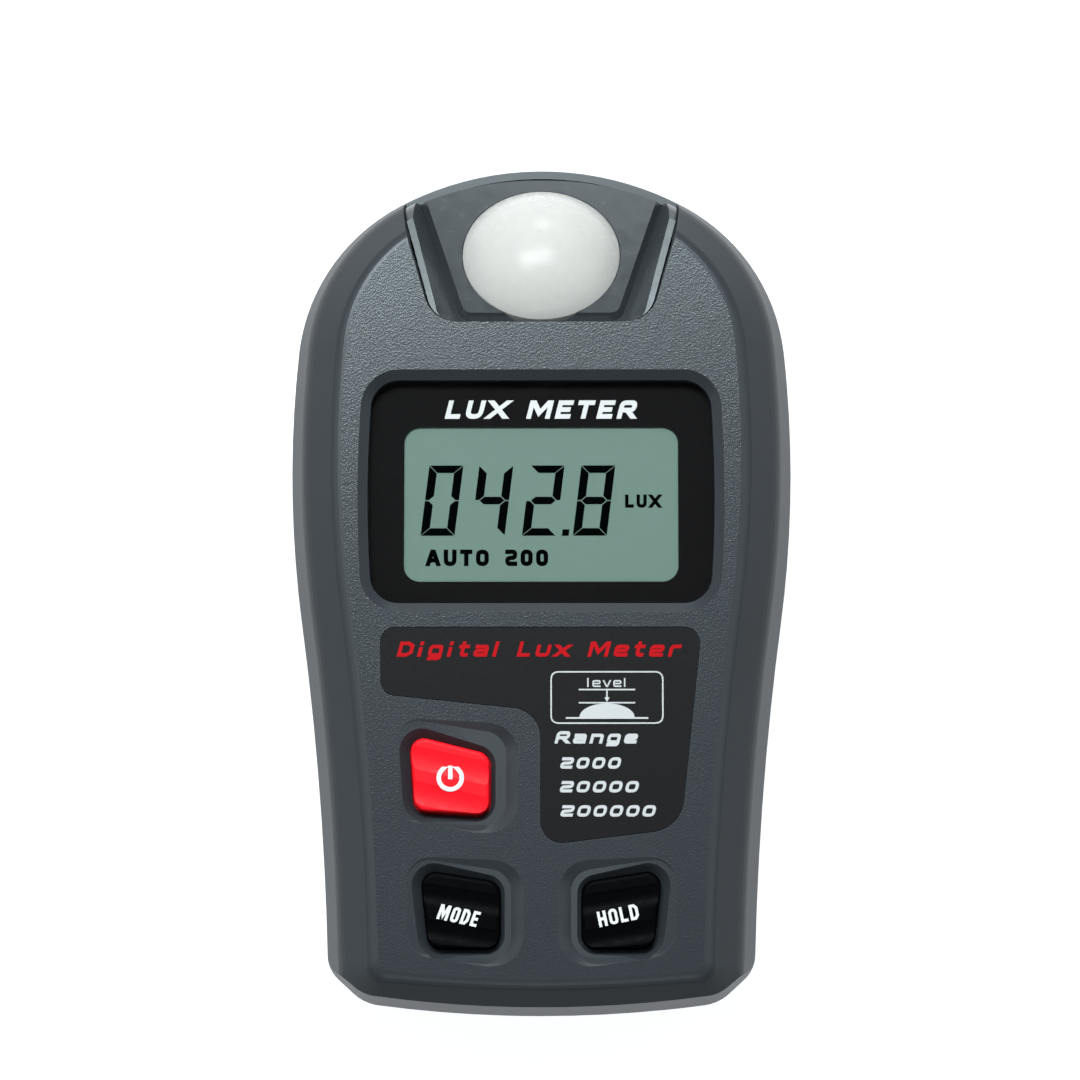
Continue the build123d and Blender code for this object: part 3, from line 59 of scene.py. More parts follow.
class Finish:
    """One material, built up a node at a time. Sizes are in millimetres."""

    def __init__(self, name, colour, roughness, specular=0.5):
        self.material = bpy.data.materials.new(name)
        self.material.use_nodes = True
        self.tree = self.material.node_tree
        self.shader = self.tree.nodes["Principled BSDF"]
        self.set("Base Color", (*colour, 1))
        self.set("Roughness", roughness)
        self.set("Specular IOR Level", specular)
        self.colour = colour
        self.place = self.node("ShaderNodeTexCoord").outputs["Object"]

    def node(self, kind, **settings):
        made = self.tree.nodes.new(kind)
        for key, value in settings.items():
            setattr(made, key, value)
        return made

    def feed(self, socket, value):
        if isinstance(value, bpy.types.NodeSocket):
            self.tree.links.new(value, socket)
        else:
            socket.default_value = value

    def set(self, name, value):
        self.feed(self.shader.inputs[name], value)

    def maths(self, operation, *values):
        made = self.node("ShaderNodeMath", operation=operation)
        for socket, value in zip(made.inputs, values):
            self.feed(socket, value)
        return made.outputs[0]

    def noise(self, size, detail=2.0, stretch=None):
        made = self.node("ShaderNodeTexNoise")
        place = self.place
        if stretch:
            scaled = self.node("ShaderNodeMapping")
            scaled.inputs["Scale"].default_value = stretch
            self.feed(scaled.inputs["Vector"], place)
            place = scaled.outputs["Vector"]
        self.feed(made.inputs["Vector"], place)
        made.inputs["Scale"].default_value = 1 / (size * MM)
        made.inputs["Detail"].default_value = detail
        return made.outputs["Fac"]

    def cells(self, size):
        made = self.node("ShaderNodeTexVoronoi", feature="SMOOTH_F1")
        self.feed(made.inputs["Vector"], self.place)
        made.inputs["Scale"].default_value = 1 / (size * MM)
        made.inputs["Smoothness"].default_value = 0.6
        return made.outputs["Distance"]

    def ramp(self, source, start, end, low, high, smooth=False):
        made = self.node("ShaderNodeMapRange")
        if smooth:
            made.interpolation_type = "SMOOTHSTEP"
        self.feed(made.inputs["Value"], source)
        made.inputs["From Min"].default_value = start
        made.inputs["From Max"].default_value = end
        made.inputs["To Min"].default_value = low
        made.inputs["To Max"].default_value = high
        return made.outputs["Result"]

    def blend(self, share, first, second):
        made = self.node("ShaderNodeMix", data_type="RGBA")
        self.feed(made.inputs["Factor"], share)
        for socket, colour in ((made.inputs["A"], first), (made.inputs["B"], second)):
            self.feed(socket, (*colour, 1) if isinstance(colour, tuple) else colour)
        return made.outputs["Result"]

    def shades(self, share, dark, light):
        """The finish's own colour, from dark to light times as bright, along share."""
        low = tuple(c * dark for c in self.colour)
        high = tuple(min(1.0, c * light) for c in self.colour)
        self.set("Base Color", self.blend(share, low, high))

    def bump(self, height, depth, under=None):
        made = self.node("ShaderNodeBump")
        made.inputs["Strength"].default_value = 1.0
        made.inputs["Distance"].default_value = depth * MM
        self.feed(made.inputs["Height"], height)
        if under:
            self.feed(made.inputs["Normal"], under)
        self.set("Normal", made.outputs["Normal"])
        return made.outputs["Normal"]

    def axis(self, source, letter):
        parts = self.node("ShaderNodeSeparateXYZ")
        self.feed(parts.inputs[0], source)
        return parts.outputs[letter]

    def facing(self, start, end):
        """1 where a face lies square to Z, falling to 0 as it tips away."""
        up = self.axis(self.node("ShaderNodeNewGeometry").outputs["Normal"], "Z")
        return self.ramp(self.maths("ABSOLUTE", up), start, end, 0, 1, smooth=True)

    def edges(self, radius):
        """1 on edges sharper than radius, by how far a rounded normal leaves the true one."""
        rounded = self.node("ShaderNodeBevel", samples=4)
        rounded.inputs["Radius"].default_value = radius * MM
        true = self.node("ShaderNodeNewGeometry").outputs["Normal"]
        dot = self.node("ShaderNodeVectorMath", operation="DOT_PRODUCT")
        self.feed(dot.inputs[0], rounded.outputs["Normal"])
        self.feed(dot.inputs[1], true)
        return self.ramp(dot.outputs["Value"], 0.98, 0.75, 0, 1)


SLATE = (0.028, 0.034, 0.04)
SLATE_DARK = (0.0265, 0.032, 0.0375)
SLATE_LIGHT = (0.03, 0.0365, 0.043)
# Sharp edges are painted this lighter slate: partly wear, partly a painted highlight along the edges.
SLATE_WORN_AND_LIT = (0.075, 0.085, 0.095)
COOL_SHINE = (0.84, 0.96, 1, 1)
GRAIN_STARTS = 24.4 * MM
GRAIN_FULL = 24.8 * MM
WEAR_AND_HIGHLIGHT_SHARE = 0.35


def moulded_case():
    """Spark-eroded grain on the level top face, plain moulded plastic on the slopes and sides."""
    finish = Finish("case_plastic", SLATE, 0.42, 0.35)
    finish.set("Specular Tint", COOL_SHINE)
    level = finish.facing(0.5, 0.97)
    high = finish.ramp(finish.axis(finish.place, "Z"), GRAIN_STARTS, GRAIN_FULL, 0, 1)
    flat = finish.maths("MULTIPLY", finish.facing(0.972, 0.992), high)
    grain = finish.maths("ADD", finish.noise(0.17, 1), finish.cells(0.2))
    # Sharp edges are painted lighter, for wear and as a painted highlight that edges catch.
    wear_and_edge_highlight = finish.maths("MULTIPLY", finish.edges(0.35), WEAR_AND_HIGHLIGHT_SHARE)
    finish.set("Specular IOR Level", finish.ramp(level, 0, 1, 0.1, 0.45))
    finish.set("Roughness", finish.ramp(flat, 0, 1, 0.4, 0.26))
    mottle = finish.blend(finish.noise(9, 3), SLATE_DARK, SLATE_LIGHT)
    finish.set("Base Color", finish.blend(wear_and_edge_highlight, mottle, SLATE_WORN_AND_LIT))
    fine = finish.bump(finish.noise(0.12, 2), 0.0015)
    finish.bump(finish.maths("MULTIPLY", flat, grain), 0.0125, fine)
    return finish.material


def smooth_case():
    """The glossier insert that carries the sensor."""
    finish = Finish("insert_plastic", (0.034, 0.041, 0.046), 0.25, 0.4)
    finish.set("Specular Tint", COOL_SHINE)
    finish.shades(finish.noise(6, 2), 0.95, 1.05)
    finish.set("Roughness", finish.ramp(finish.noise(1.5, 3), 0.3, 0.7, 0.2, 0.28))
    finish.bump(finish.noise(0.2, 2), 0.001)
    return finish.material


def opal_dome():
    """Opal diffuser: milky, with light spreading under a glossy skin."""
    finish = Finish("opal_diffuser", (0.505, 0.521, 0.503), 0.28, 0.16)
    finish.set("Subsurface Weight", 0.5)
    finish.set("Subsurface Radius", (2.0, 1.8, 1.5))
    finish.set("Subsurface Scale", MM)
    finish.shades(finish.noise(7, 2), 0.98, 1.02)
    finish.set("Roughness", finish.ramp(finish.noise(1.2, 3), 0.3, 0.7, 0.22, 0.3))
    finish.bump(finish.noise(2.5, 1), 0.003)
    return finish.material


SKIN_SQUARE_ON = 0.035
SKIN_GAIN = 0.9
SKIN_POWER = 5.0


def clear_window():
    """Clear acrylic: what is behind shows straight through, under a skin that shines at a slant."""
    finish = Finish("clear_acrylic", (1, 1, 1), 0.03)
    finish.tree.nodes.remove(finish.shader)
    clear = finish.node("ShaderNodeBsdfTransparent")
    clear.inputs["Color"].default_value = (0.985, 0.99, 0.988, 1)
    gloss = finish.node("ShaderNodeBsdfGlossy")
    finish.feed(gloss.inputs["Roughness"], finish.ramp(finish.noise(5, 3), 0.3, 0.7, 0.02, 0.07))
    skin = finish.node("ShaderNodeLayerWeight")
    skin.inputs["Blend"].default_value = 0.5
    glancing = finish.maths("POWER", skin.outputs["Facing"], SKIN_POWER)
    share = finish.maths("MULTIPLY_ADD", glancing, SKIN_GAIN, SKIN_SQUARE_ON)
    mixed = finish.node("ShaderNodeMixShader")
    finish.feed(mixed.inputs["Fac"], share)
    finish.feed(mixed.inputs[1], clear.outputs["BSDF"])
    finish.feed(mixed.inputs[2], gloss.outputs["BSDF"])
    output = finish.tree.nodes["Material Output"]
    finish.feed(output.inputs["Surface"], mixed.outputs["Shader"])
    return finish.material


def printed_black():
    finish = Finish("black_print", (0.0065, 0.0065, 0.007), 0.5, 0.02)
    finish.shades(finish.noise(4, 3), 0.85, 1.15)
    finish.set("Roughness", finish.ramp(finish.noise(0.8, 3), 0.3, 0.7, 0.4, 0.52))
    finish.bump(finish.noise(0.2, 2), 0.002)
    return finish.material


def label_film():
    """Matt polyester overlay with a faint reverse-printed grain."""
    finish = Finish("label_film", (0.0055, 0.0058, 0.0066), 0.5, 0.12)
    finish.shades(finish.noise(5, 3), 0.9, 1.1)
    finish.set("Roughness", finish.ramp(finish.noise(0.5, 3), 0.3, 0.7, 0.45, 0.6))
    finish.bump(finish.noise(0.16, 2), 0.004)
    return finish.material


def brushed_foil():
    finish = Finish("silver_foil", (0.62, 0.63, 0.64), 0.32)
    finish.set("Metallic", 0.7)
    streaks = finish.noise(0.4, 3, stretch=(0.05, 1, 1))
    finish.shades(streaks, 0.85, 1.1)
    finish.set("Roughness", finish.ramp(streaks, 0.3, 0.7, 0.26, 0.42))
    finish.bump(streaks, 0.004)
    return finish.material


def display_glass():
    """A liquid crystal cell seen through its polariser: grey green with the reflector's fine speckle."""
    finish = Finish("display_cell", (0.148, 0.235, 0.204), 0.5, 0.1)
    speckle = finish.noise(0.09, 1)
    finish.shades(speckle, 0.93, 1.07)
    finish.set("Roughness", finish.ramp(finish.noise(3, 3), 0.3, 0.7, 0.42, 0.55))
    finish.bump(finish.noise(0.1, 1), 0.002)
    return finish.material


def soft_rubber(name, colour, specular):
    """Silicone rubber: fine matt skin, with scuffs where fingers press."""
    finish = Finish(name, colour, 0.45, specular)
    finish.shades(finish.noise(3, 3), 0.93, 1.05)
    finish.set("Roughness", finish.ramp(finish.noise(0.9, 3), 0.3, 0.7, 0.36, 0.52))
    fine = finish.bump(finish.noise(0.15, 2), 0.004)
    finish.bump(finish.noise(2.5, 2), 0.02, fine)
    return finish.material


def plain_plastic(name, colour, roughness, specular=0.5):
    finish = Finish(name, colour, roughness, specular)
    finish.shades(finish.noise(3, 3), 0.92, 1.08)
    mottle = finish.noise(0.6, 3)
    finish.set("Roughness", finish.ramp(mottle, 0.3, 0.7, roughness - 0.06, roughness + 0.08))
    finish.bump(finish.noise(0.2, 2), 0.004)
    return finish.material


def metal(name, colour, roughness, stretch=(1, 1, 0.08)):
    """Drawn or rolled metal, with streaks along its length."""
    finish = Finish(name, colour, roughness)
    finish.set("Metallic", 1.0)
    streaks = finish.noise(0.25, 3, stretch=stretch)
    finish.shades(streaks, 0.86, 1.08)
    finish.set("Roughness", finish.ramp(streaks, 0.3, 0.7, roughness - 0.08, roughness + 0.1))
    finish.bump(streaks, 0.003)
    return finish.material


def circuit_board():
    """Green solder mask over a faint weave."""
    finish = Finish("circuit_board", (0.02, 0.14, 0.055), 0.35)
    warp = finish.noise(0.3, 1, stretch=(0.3, 1, 1))
    weft = finish.noise(0.3, 1, stretch=(1, 0.3, 1))
    weave = finish.maths("ADD", warp, weft)
    finish.shades(finish.ramp(weave, 0.7, 1.3, 0, 1), 0.85, 1.15)
    finish.bump(weave, 0.006)
    return finish.material


def cell_wrap():
    """A battery's plain glossy sleeve."""
    finish = Finish("cell_sleeve", (0.09, 0.1, 0.11), 0.3)
    finish.shades(finish.noise(4, 3), 0.9, 1.1)
    finish.set("Roughness", finish.ramp(finish.noise(0.8, 3), 0.3, 0.7, 0.24, 0.4))
    finish.bump(finish.noise(1.2, 2), 0.01)
    return finish.material


def foam():
    finish = Finish("foam", (0.03, 0.03, 0.032), 0.9, 0.2)
    pits_and_pit_shade = finish.cells(0.35)
    # The pits are painted darker: painted shade in the pores.
    finish.shades(pits_and_pit_shade, 0.6, 1.3)
    finish.bump(pits_and_pit_shade, 0.12)
    return finish.material


FINISHES = {
    "case": moulded_case(),
    "case_smooth": smooth_case(),
    "dome": opal_dome(),
    "lens": clear_window(),
    "black_print": printed_black(),
    "silver_print": brushed_foil(),
    "lcd_glass": display_glass(),
    "reflector": metal("reflector_foil", (0.7, 0.72, 0.7), 0.4, (1, 0.1, 1)),
    "black_plastic": plain_plastic("black_plastic", (0.012, 0.012, 0.013), 0.4),
    "white_plastic": plain_plastic("white_plastic", (0.72, 0.72, 0.7), 0.4),
    "zebra_rubber": plain_plastic("zebra_rubber", (0.3, 0.14, 0.12), 0.6),
    "red_rubber": soft_rubber("red_rubber", (0.95, 0.008, 0.018), 0.12),
    "black_rubber": soft_rubber("black_rubber", (0.0015, 0.0018, 0.0024), 0.02),
    "board": circuit_board(),
    "filter_glass": plain_plastic("filter_glass", (0.1, 0.25, 0.2), 0.12),
    "steel": metal("bright_steel", (0.62, 0.62, 0.6), 0.3),
    "aluminium": metal("aluminium", (0.75, 0.76, 0.78), 0.35),
    "cell_wrap": cell_wrap(),
    "red_wire": plain_plastic("red_wire", (0.5, 0.01, 0.01), 0.4),
    "black_wire": plain_plastic("black_wire", (0.012, 0.012, 0.012), 0.4),
    "foam": foam(),
}
OWN_FINISHES = {"front_label": label_film()}


def dress_nodes():
    """Each CAD node's slots get the finish of the same name, or the node's own finish."""
    for name, shown in NODES.items():
        for place in shown.material_slots:
            slot_name = place.material.name.split(".")[0]
            place.material = OWN_FINISHES.get(name) or FINISHES[slot_name]


# ---------------------------------------------------------------- prints

WHITE_INK = plain_plastic("white_ink", (0.7, 0.74, 0.75), 0.5, 0.2)
GREY_INK = plain_plastic("grey_ink", (0.5, 0.545, 0.56), 0.5, 0.2)
RED_INK = plain_plastic("red_ink", (0.42, 0.005, 0.009), 0.5, 0.05)
LCD_INK = plain_plastic("lcd_ink", (0.0008, 0.0014, 0.0016), 0.6, 0.0)
INK_DEPTH = 0.03 * MM
MASK_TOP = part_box("display_mask")[1].z
GLASS_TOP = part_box("lcd_front_glass")[1].z
LABEL_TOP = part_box("front_label")[1].z
KEY_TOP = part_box("mode_key")[1].z


def keep(mesh, name, body, finish):
    """A finished mesh becomes a piece on a body."""
    piece = bpy.data.objects.new(name, mesh)
    bpy.context.scene.collection.objects.link(piece)
    mesh.materials.clear()
    mesh.materials.append(finish)
    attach(piece, body)
    return piece


def covers(outline, point):
    """Whether a closed outline holds a point, by counting the sides to its right."""
    inside = False
    for a, b in zip(outline, outline[1:] + outline[:1]):
        if (a.y > point.y) != (b.y > point.y):
            if point.x < a.x + (b.x - a.x) * (point.y - a.y) / (b.y - a.y):
                inside = not inside
    return inside


def boxed(outline):
    """An outline with the sides of the box around it."""
    xs, ys = [p.x for p in outline], [p.y for p in outline]
    return outline, min(xs), max(xs), min(ys), max(ys)


ALL_FACES = 0
WELD = 1e-4


def slab(outlines, z, depth=INK_DEPTH):
    """A mesh of flat outlines, lists of (x, y) in metres, merged and raised from z by depth."""
    drawn = [[Vector(p) / MM for p in outline] for outline in outlines]
    boxes = [boxed(outline) for outline in drawn]
    corners = [p for outline in drawn for p in outline]
    loops = []
    for outline in outlines:
        first = loops[-1][-1] + 1 if loops else 0
        loops.append(list(range(first, first + len(outline))))
    flat = delaunay_2d_cdt(corners, [], loops, ALL_FACES, WELD)
    shape = bmesh.new()
    points, faces = flat[0], flat[2]
    low = [shape.verts.new((p.x * MM, p.y * MM, z)) for p in points]
    high = [shape.verts.new((p.x * MM, p.y * MM, z + depth)) for p in points]
    rims = {}
    for face in faces:
        middle = sum((points[i] for i in face), Vector((0, 0))) / len(face)
        near = [o for o, x0, x1, y0, y1 in boxes if x0 < middle.x < x1 and y0 < middle.y < y1]
        if not any(covers(outline, middle) for outline in near):
            continue
        shape.faces.new([low[i] for i in reversed(face)])
        shape.faces.new([high[i] for i in face])
        for a, b in zip(face, face[1:] + face[:1]):
            rims[(a, b)] = (b, a) not in rims
            if not rims[(a, b)]:
                rims[(b, a)] = False
    for (a, b), rim in rims.items():
        if rim:
            shape.faces.new((low[a], low[b], high[b], high[a]))
    spare = [v for v in shape.verts if not v.link_faces]
    bmesh.ops.delete(shape, geom=spare, context="VERTS")
    bmesh.ops.recalc_face_normals(shape, faces=shape.faces)
    mesh = bpy.data.meshes.new("slab")
    shape.to_mesh(mesh)
    shape.free()
    return mesh


# Block letters: strokes on a grid from 0 to 1 each way, with their width beside them.
# A closed stroke ends where it starts. Corners are rounded where the letter's turn says so.
LETTERS = {
    "A": (1.1, 0.0, [[(0, 0), (0.42, 1), (0.58, 1), (1, 0)], [(0.25, 0.3), (0.75, 0.3)]]),
    "D": (1.0, 0.0, [[(0, 0), (0, 1), (0.62, 1), (1, 0.78), (1, 0.22), (0.62, 0), (0, 0)]]),
    "E": (0.88, 0.0, [[(1, 1), (0, 1), (0, 0), (1, 0)], [(0, 0.5), (0.85, 0.5)]]),
    "H": (1.0, 0.0, [[(0, 0), (0, 1)], [(1, 0), (1, 1)], [(0, 0.5), (1, 0.5)]]),
    "L": (0.85, 0.0, [[(0, 1), (0, 0), (1, 0)]]),
    "M": (1.35, 0.0, [[(0, 0), (0, 1)], [(0.12, 1), (0.5, 0.25), (0.88, 1)], [(1, 1), (1, 0)]]),
    "O": (1.0, 0.3, [[(0, 0), (0, 1), (1, 1), (1, 0), (0, 0)]]),
    "R": (1.0, 0.2, [[(0, 0), (0, 1), (1, 1), (1, 0.46), (0, 0.46)], [(0.5, 0.46), (1, 0)]]),
    "T": (0.95, 0.0, [[(0, 1), (1, 1)], [(0.5, 1), (0.5, 0)]]),
    "U": (1.0, 0.3, [[(0, 1), (0, 0), (1, 0), (1, 1)]]),
    "X": (1.1, 0.0, [[(0, 0), (1, 1)], [(0, 1), (1, 0)]]),
    "V": (1.1, 0.0, [[(0, 1), (0.42, 0), (0.58, 0), (1, 1)]]),
    "x": (0.9, 0.0, [[(0, 0), (1, 0.72)], [(0, 0.72), (1, 0)]]),
    ".": (0.3, 0.0, [[(0, 0.01), (0, 0)]]),
    "1": (0.55, 0.0, [[(0, 0.75), (1, 1), (1, 0)]]),
    "5": (1.0, 0.2, [[(1, 1), (0, 1), (0, 0.56), (1, 0.5), (1, 0), (0, 0)]]),
    "0": (1.0, 0.3, [[(0, 0), (0, 1), (1, 1), (1, 0), (0, 0)]]),
    "2": (1.0, 0.24, [[(0, 1), (1, 1), (1, 0.52), (0, 0.46), (0, 0), (1, 0)]]),
    "a": (0.95, 0.16, [[(0.05, 0.72), (1, 0.72), (1, 0)], [(1, 0.38), (0, 0.38), (0, 0), (1, 0)]]),
    "e": (0.95, 0.16, [[(1, 0), (0, 0), (0, 0.72), (1, 0.72), (1, 0.36), (0, 0.36)]]),
    "g": (0.95, 0.16, [[(1, 0), (0, 0), (0, 0.72), (1, 0.72), (1, -0.3), (0.05, -0.3)]]),
    "i": (0.32, 0.0, [[(0, 0.52), (0, 0)], [(0, 1), (0, 0.99)]]),
    "l": (0.32, 0.0, [[(0, 1), (0, 0)]]),
    "n": (0.95, 0.16, [[(0, 0.72), (0, 0)], [(0, 0.72), (1, 0.72), (1, 0)]]),
    "r": (0.75, 0.16, [[(0, 0), (0, 0.72), (1, 0.72)]]),
    "t": (0.7, 0.14, [[(0.35, 1), (0.35, 0), (1, 0)], [(0, 0.72), (1, 0.72)]]),
    "u": (0.95, 0.16, [[(0, 0.72), (0, 0), (1, 0), (1, 0.72)]]),
    "v": (0.9, 0.0, [[(0, 0.72), (0.42, 0), (0.58, 0), (1, 0.72)]]),
}
ARC_STEPS = 5
LONGEST_EASE = 0.49


def eased(points, radius):
    """A path with its corners rounded by curves of that reach, as near as its runs allow."""
    closed = points[0] == points[-1]
    path = [Vector(p) for p in (points[:-1] if closed else points)]
    rounded = []
    for i, corner in enumerate(path):
        if radius <= 0 or (not closed and i in (0, len(path) - 1)):
            rounded.append(corner)
            continue
        before = path[i - 1] - corner
        after = path[(i + 1) % len(path)] - corner
        reach = min(radius, LONGEST_EASE * before.length, LONGEST_EASE * after.length)
        start = corner + before.normalized() * reach
        end = corner + after.normalized() * reach
        for step in range(ARC_STEPS + 1):
            t = step / ARC_STEPS
            rounded.append(start * (1 - t) ** 2 + corner * 2 * t * (1 - t) + end * t * t)
    if closed:
        rounded.append(rounded[0])
    return rounded


BLUNTEST_MITRE = 0.35
LEVEL_RUN = 0.05


def ribbon(path, thickness):
    """Flat quads, each four (x, y) points, along a path. Slanted ends are cut level."""
    half = thickness / 2
    closed = (path[0] - path[-1]).length < 1e-9
    runs = [(b - a).normalized() for a, b in zip(path, path[1:])]
    sides = []
    for i, point in enumerate(path):
        into = runs[i - 1] if i else (runs[-1] if closed else runs[0])
        out = runs[i] if i < len(runs) else (runs[0] if closed else runs[-1])
        normal = Vector((-(into.y + out.y), into.x + out.x)).normalized()
        spread = half / max(BLUNTEST_MITRE, normal.dot(Vector((-out.y, out.x))))
        pair = [point + normal * spread, point - normal * spread]
        if not closed and i in (0, len(path) - 1):
            ahead = -out if i == 0 else into
            if min(abs(ahead.x), abs(ahead.y)) > LEVEL_RUN:
                level = point.y + math.copysign(half, ahead.y)
                pair = [side + ahead * ((level - side.y) / ahead.y) for side in pair]
            else:
                pair = [side + ahead * half for side in pair]
        sides.append(pair)
    return [[a[0], a[1], b[1], b[0]] for a, b in zip(sides, sides[1:])]


SPACE_WIDTH = 0.6


def block_text(text, middle, size, thickness, lean=0.0, turn=0.0, gap=0.28):
    """Outlines, in metres, of block letters that fill size, in millimetres, around middle."""
    wide, tall = size
    slant = math.tan(math.radians(lean))
    natural = sum(LETTERS[c][0] if c != " " else SPACE_WIDTH for c in text) + gap * (len(text) - 1)
    unit = (wide - slant * tall) / natural
    spin = Matrix.Rotation(math.radians(turn), 2)
    outlines = []
    left = 0.0
    for letter in text:
        if letter == " ":
            left += (SPACE_WIDTH + gap) * unit
            continue
        width, turn_radius, strokes = LETTERS[letter]
        for stroke in strokes:
            grid = Vector((width * unit - thickness, tall - thickness))
            points = [(x * grid.x + thickness / 2, y * grid.y + thickness / 2) for x, y in stroke]
            for quad in ribbon(eased(points, turn_radius * tall), thickness):
                placed = []
                for p in quad:
                    up = p.y - tall / 2
                    across = left + p.x + slant * p.y - wide / 2
                    placed.append((spin @ Vector((across, up)) + Vector(middle)) * MM)
                outlines.append(placed)
        left += (width + gap) * unit
    return outlines


DIGIT_WIDTH = 4.0
DIGIT_HEIGHT = 8.36
BAR = 0.98
BAR_GAP = 0.06
END_SLANT = 0.9
WAIST_SLANT = 0.45
DIGIT_LEAN = math.tan(math.radians(7))
SEGMENTS = {"0": "abcdef", "4": "bcfg", "2": "abdeg", "8": "abcdefg"}


def side_swapped(points):
    """A bar's outline, moved to the other side of its figure."""
    return [(DIGIT_WIDTH - x, y) for x, y in points]


def upended(points):
    """A bar's outline, moved from the upper half of its figure to the lower."""
    return [(x, DIGIT_HEIGHT - y) for x, y in points]


def digit_bars(figure, left, foot):
    """Outlines, in metres, of a seven-segment figure's bars."""
    w, h, t, g = DIGIT_WIDTH, DIGIT_HEIGHT, BAR, BAR_GAP
    under = h - t * END_SLANT
    slant = t * WAIST_SLANT
    waist = h / 2
    top = [(g, h), (w - g, h), (w - t - g, under), (t + g, under)]
    side = [(0, h - g), (t, under - g), (t, waist + t / 2 + g), (slant, waist + g), (0, waist + g)]
    middle = [(t / 2 + g, waist), (t + g, waist + slant), (w - t - g, waist + slant)]
    middle += side_swapped(upended(middle))
    bars = {
        "a": top,
        "d": upended(top),
        "f": side,
        "b": side_swapped(side),
        "e": upended(side),
        "c": side_swapped(upended(side)),
        "g": middle,
    }
    placed = []
    for letter in SEGMENTS[figure]:
        leant = [(left + x + y * DIGIT_LEAN, foot + y) for x, y in bars[letter]]
        placed.append([(x * MM, y * MM) for x, y in leant])
    return placed


READING = "0428"
READING_LEFT = (-14.2, -8.3, -2.26, 3.73)
READING_FOOT = 5.0
DECIMAL_POINT = [(2.45, 4.99), (3.25, 4.99), (3.33, 5.75), (2.53, 5.75)]


def display_figures():
    outlines = []
    for figure, left in zip(READING, READING_LEFT):
        outlines += digit_bars(figure, left, READING_FOOT)
    outlines.append([(x * MM, y * MM) for x, y in DECIMAL_POINT])
    keep(slab(outlines, GLASS_TOP), "display_figures", "case", LCD_INK)
    words = block_text("LUX", (12.0, 9.1), (4.2, 1.57), 0.4)
    words += block_text("AUTO", (-9.85, 2.37), (7.4, 1.95), 0.52)
    words += block_text("200", (-1.7, 2.37), (5.05, 1.95), 0.52)
    keep(slab(words, GLASS_TOP), "display_words", "case", LCD_INK)


def arc(middle, radius, start, end, steps=24, flat=1.0):
    """Points of an arc from start to end, in degrees, squashed in height by flat."""
    points = []
    for i in range(steps + 1):
        angle = math.radians(start + (end - start) * i / steps)
        x = middle[0] + radius * math.cos(angle)
        y = middle[1] + radius * flat * math.sin(angle)
        points.append(Vector((x, y)))
    return points


def metres(outlines):
    return [[p * MM for p in outline] for outline in outlines]


POWER_MIDDLE = (-10.52, -23.85)
POWER_RADIUS = 1.34
POWER_LINE = 0.52
POWER_RING_FROM = 130
POWER_RING_TO = 410
POWER_BAR_TOP = 1.15
POWER_BAR_FOOT = 0.1


def power_symbol():
    """A broken ring with a bar in its gap."""
    ring = ribbon(arc(POWER_MIDDLE, POWER_RADIUS, POWER_RING_FROM, POWER_RING_TO), POWER_LINE)
    x, y = POWER_MIDDLE
    bar = ribbon([Vector((x, y + POWER_BAR_TOP)), Vector((x, y + POWER_BAR_FOOT))], POWER_LINE)
    keep(slab(metres(ring + bar), KEY_TOP), "power_symbol", "power_button", WHITE_INK)


BADGE_MIDDLE = (7.68, -14.42)
BADGE_SIZE = (13.0, 6.0)
BADGE_CORNER = 0.9
BADGE_LINE = 0.17
BADGE_LEVELS = (0.92, -0.62)
BADGE_LEVEL_HALF = 3.2
BADGE_STEM_FOOT = -0.2
BADGE_ARROW_HALF = 0.3
BADGE_ARROW_NECK = 0.02
BADGE_ARROW_TIP = -0.55
BADGE_DOME_FOOT = -2.3
BADGE_BASE_HALF = 4.8
BADGE_BASE_FOOT = -2.5
BADGE_WORD_RISE = 1.75
BADGE_WORD_SIZE = (4.6, 1.05)


def frame_path(x, y, half_x, half_y):
    """The closed path of a frame around (x, y)."""
    left, right, low, high = x - half_x, x + half_x, y - half_y, y + half_y
    return [(left, low), (left, high), (right, high), (right, low), (left, low)]


def sensor_badge():
    """A framed sketch of the dome with an arrow down to its measuring level."""
    x, y = BADGE_MIDDLE
    sides = frame_path(x, y, BADGE_SIZE[0] / 2, BADGE_SIZE[1] / 2)
    quads = ribbon(eased(sides, BADGE_CORNER), BADGE_LINE)
    for rise in BADGE_LEVELS:
        ends = [Vector((x - BADGE_LEVEL_HALF, y + rise)), Vector((x + BADGE_LEVEL_HALF, y + rise))]
        quads += ribbon(ends, BADGE_LINE)
    stem = [Vector((x, y + BADGE_LEVELS[0])), Vector((x, y + BADGE_STEM_FOOT))]
    quads += ribbon(stem, BADGE_LINE)
    neck = y + BADGE_ARROW_NECK
    head = [(x - BADGE_ARROW_HALF, neck), (x, y + BADGE_ARROW_TIP), (x + BADGE_ARROW_HALF, neck)]
    dome = arc((x, y + BADGE_DOME_FOOT), BADGE_LEVEL_HALF, 0, 180, flat=0.5)
    left, right = x - BADGE_BASE_HALF, x + BADGE_BASE_HALF
    foot, top = y + BADGE_BASE_FOOT, y + BADGE_DOME_FOOT
    base = [(left, foot), (right, foot), (right, top), (left, top)]
    shapes = [[Vector(p) for p in head], dome, [Vector(p) for p in base]]
    outlines = metres(quads + shapes)
    keep(slab(outlines, LABEL_TOP), "sensor_badge", "case", GREY_INK)
    word = block_text("level", (x, y + BADGE_WORD_RISE), BADGE_WORD_SIZE, BADGE_LINE)
    keep(slab(word, LABEL_TOP), "badge_word", "case", GREY_INK)


LABEL_LEAN = 15
RANGES = (
    ("2000", (5.8, -22.07), 7.3),
    ("20000", (6.8, -24.83), 9.4),
    ("200000", (7.82, -27.64), 11.3),
)
RANGE_HEIGHT = 1.33
LEGEND_Y = -39.77
LEGEND_HEIGHT = 1.8
LEGEND_LINE = 0.34
LEGEND_TURN = 12


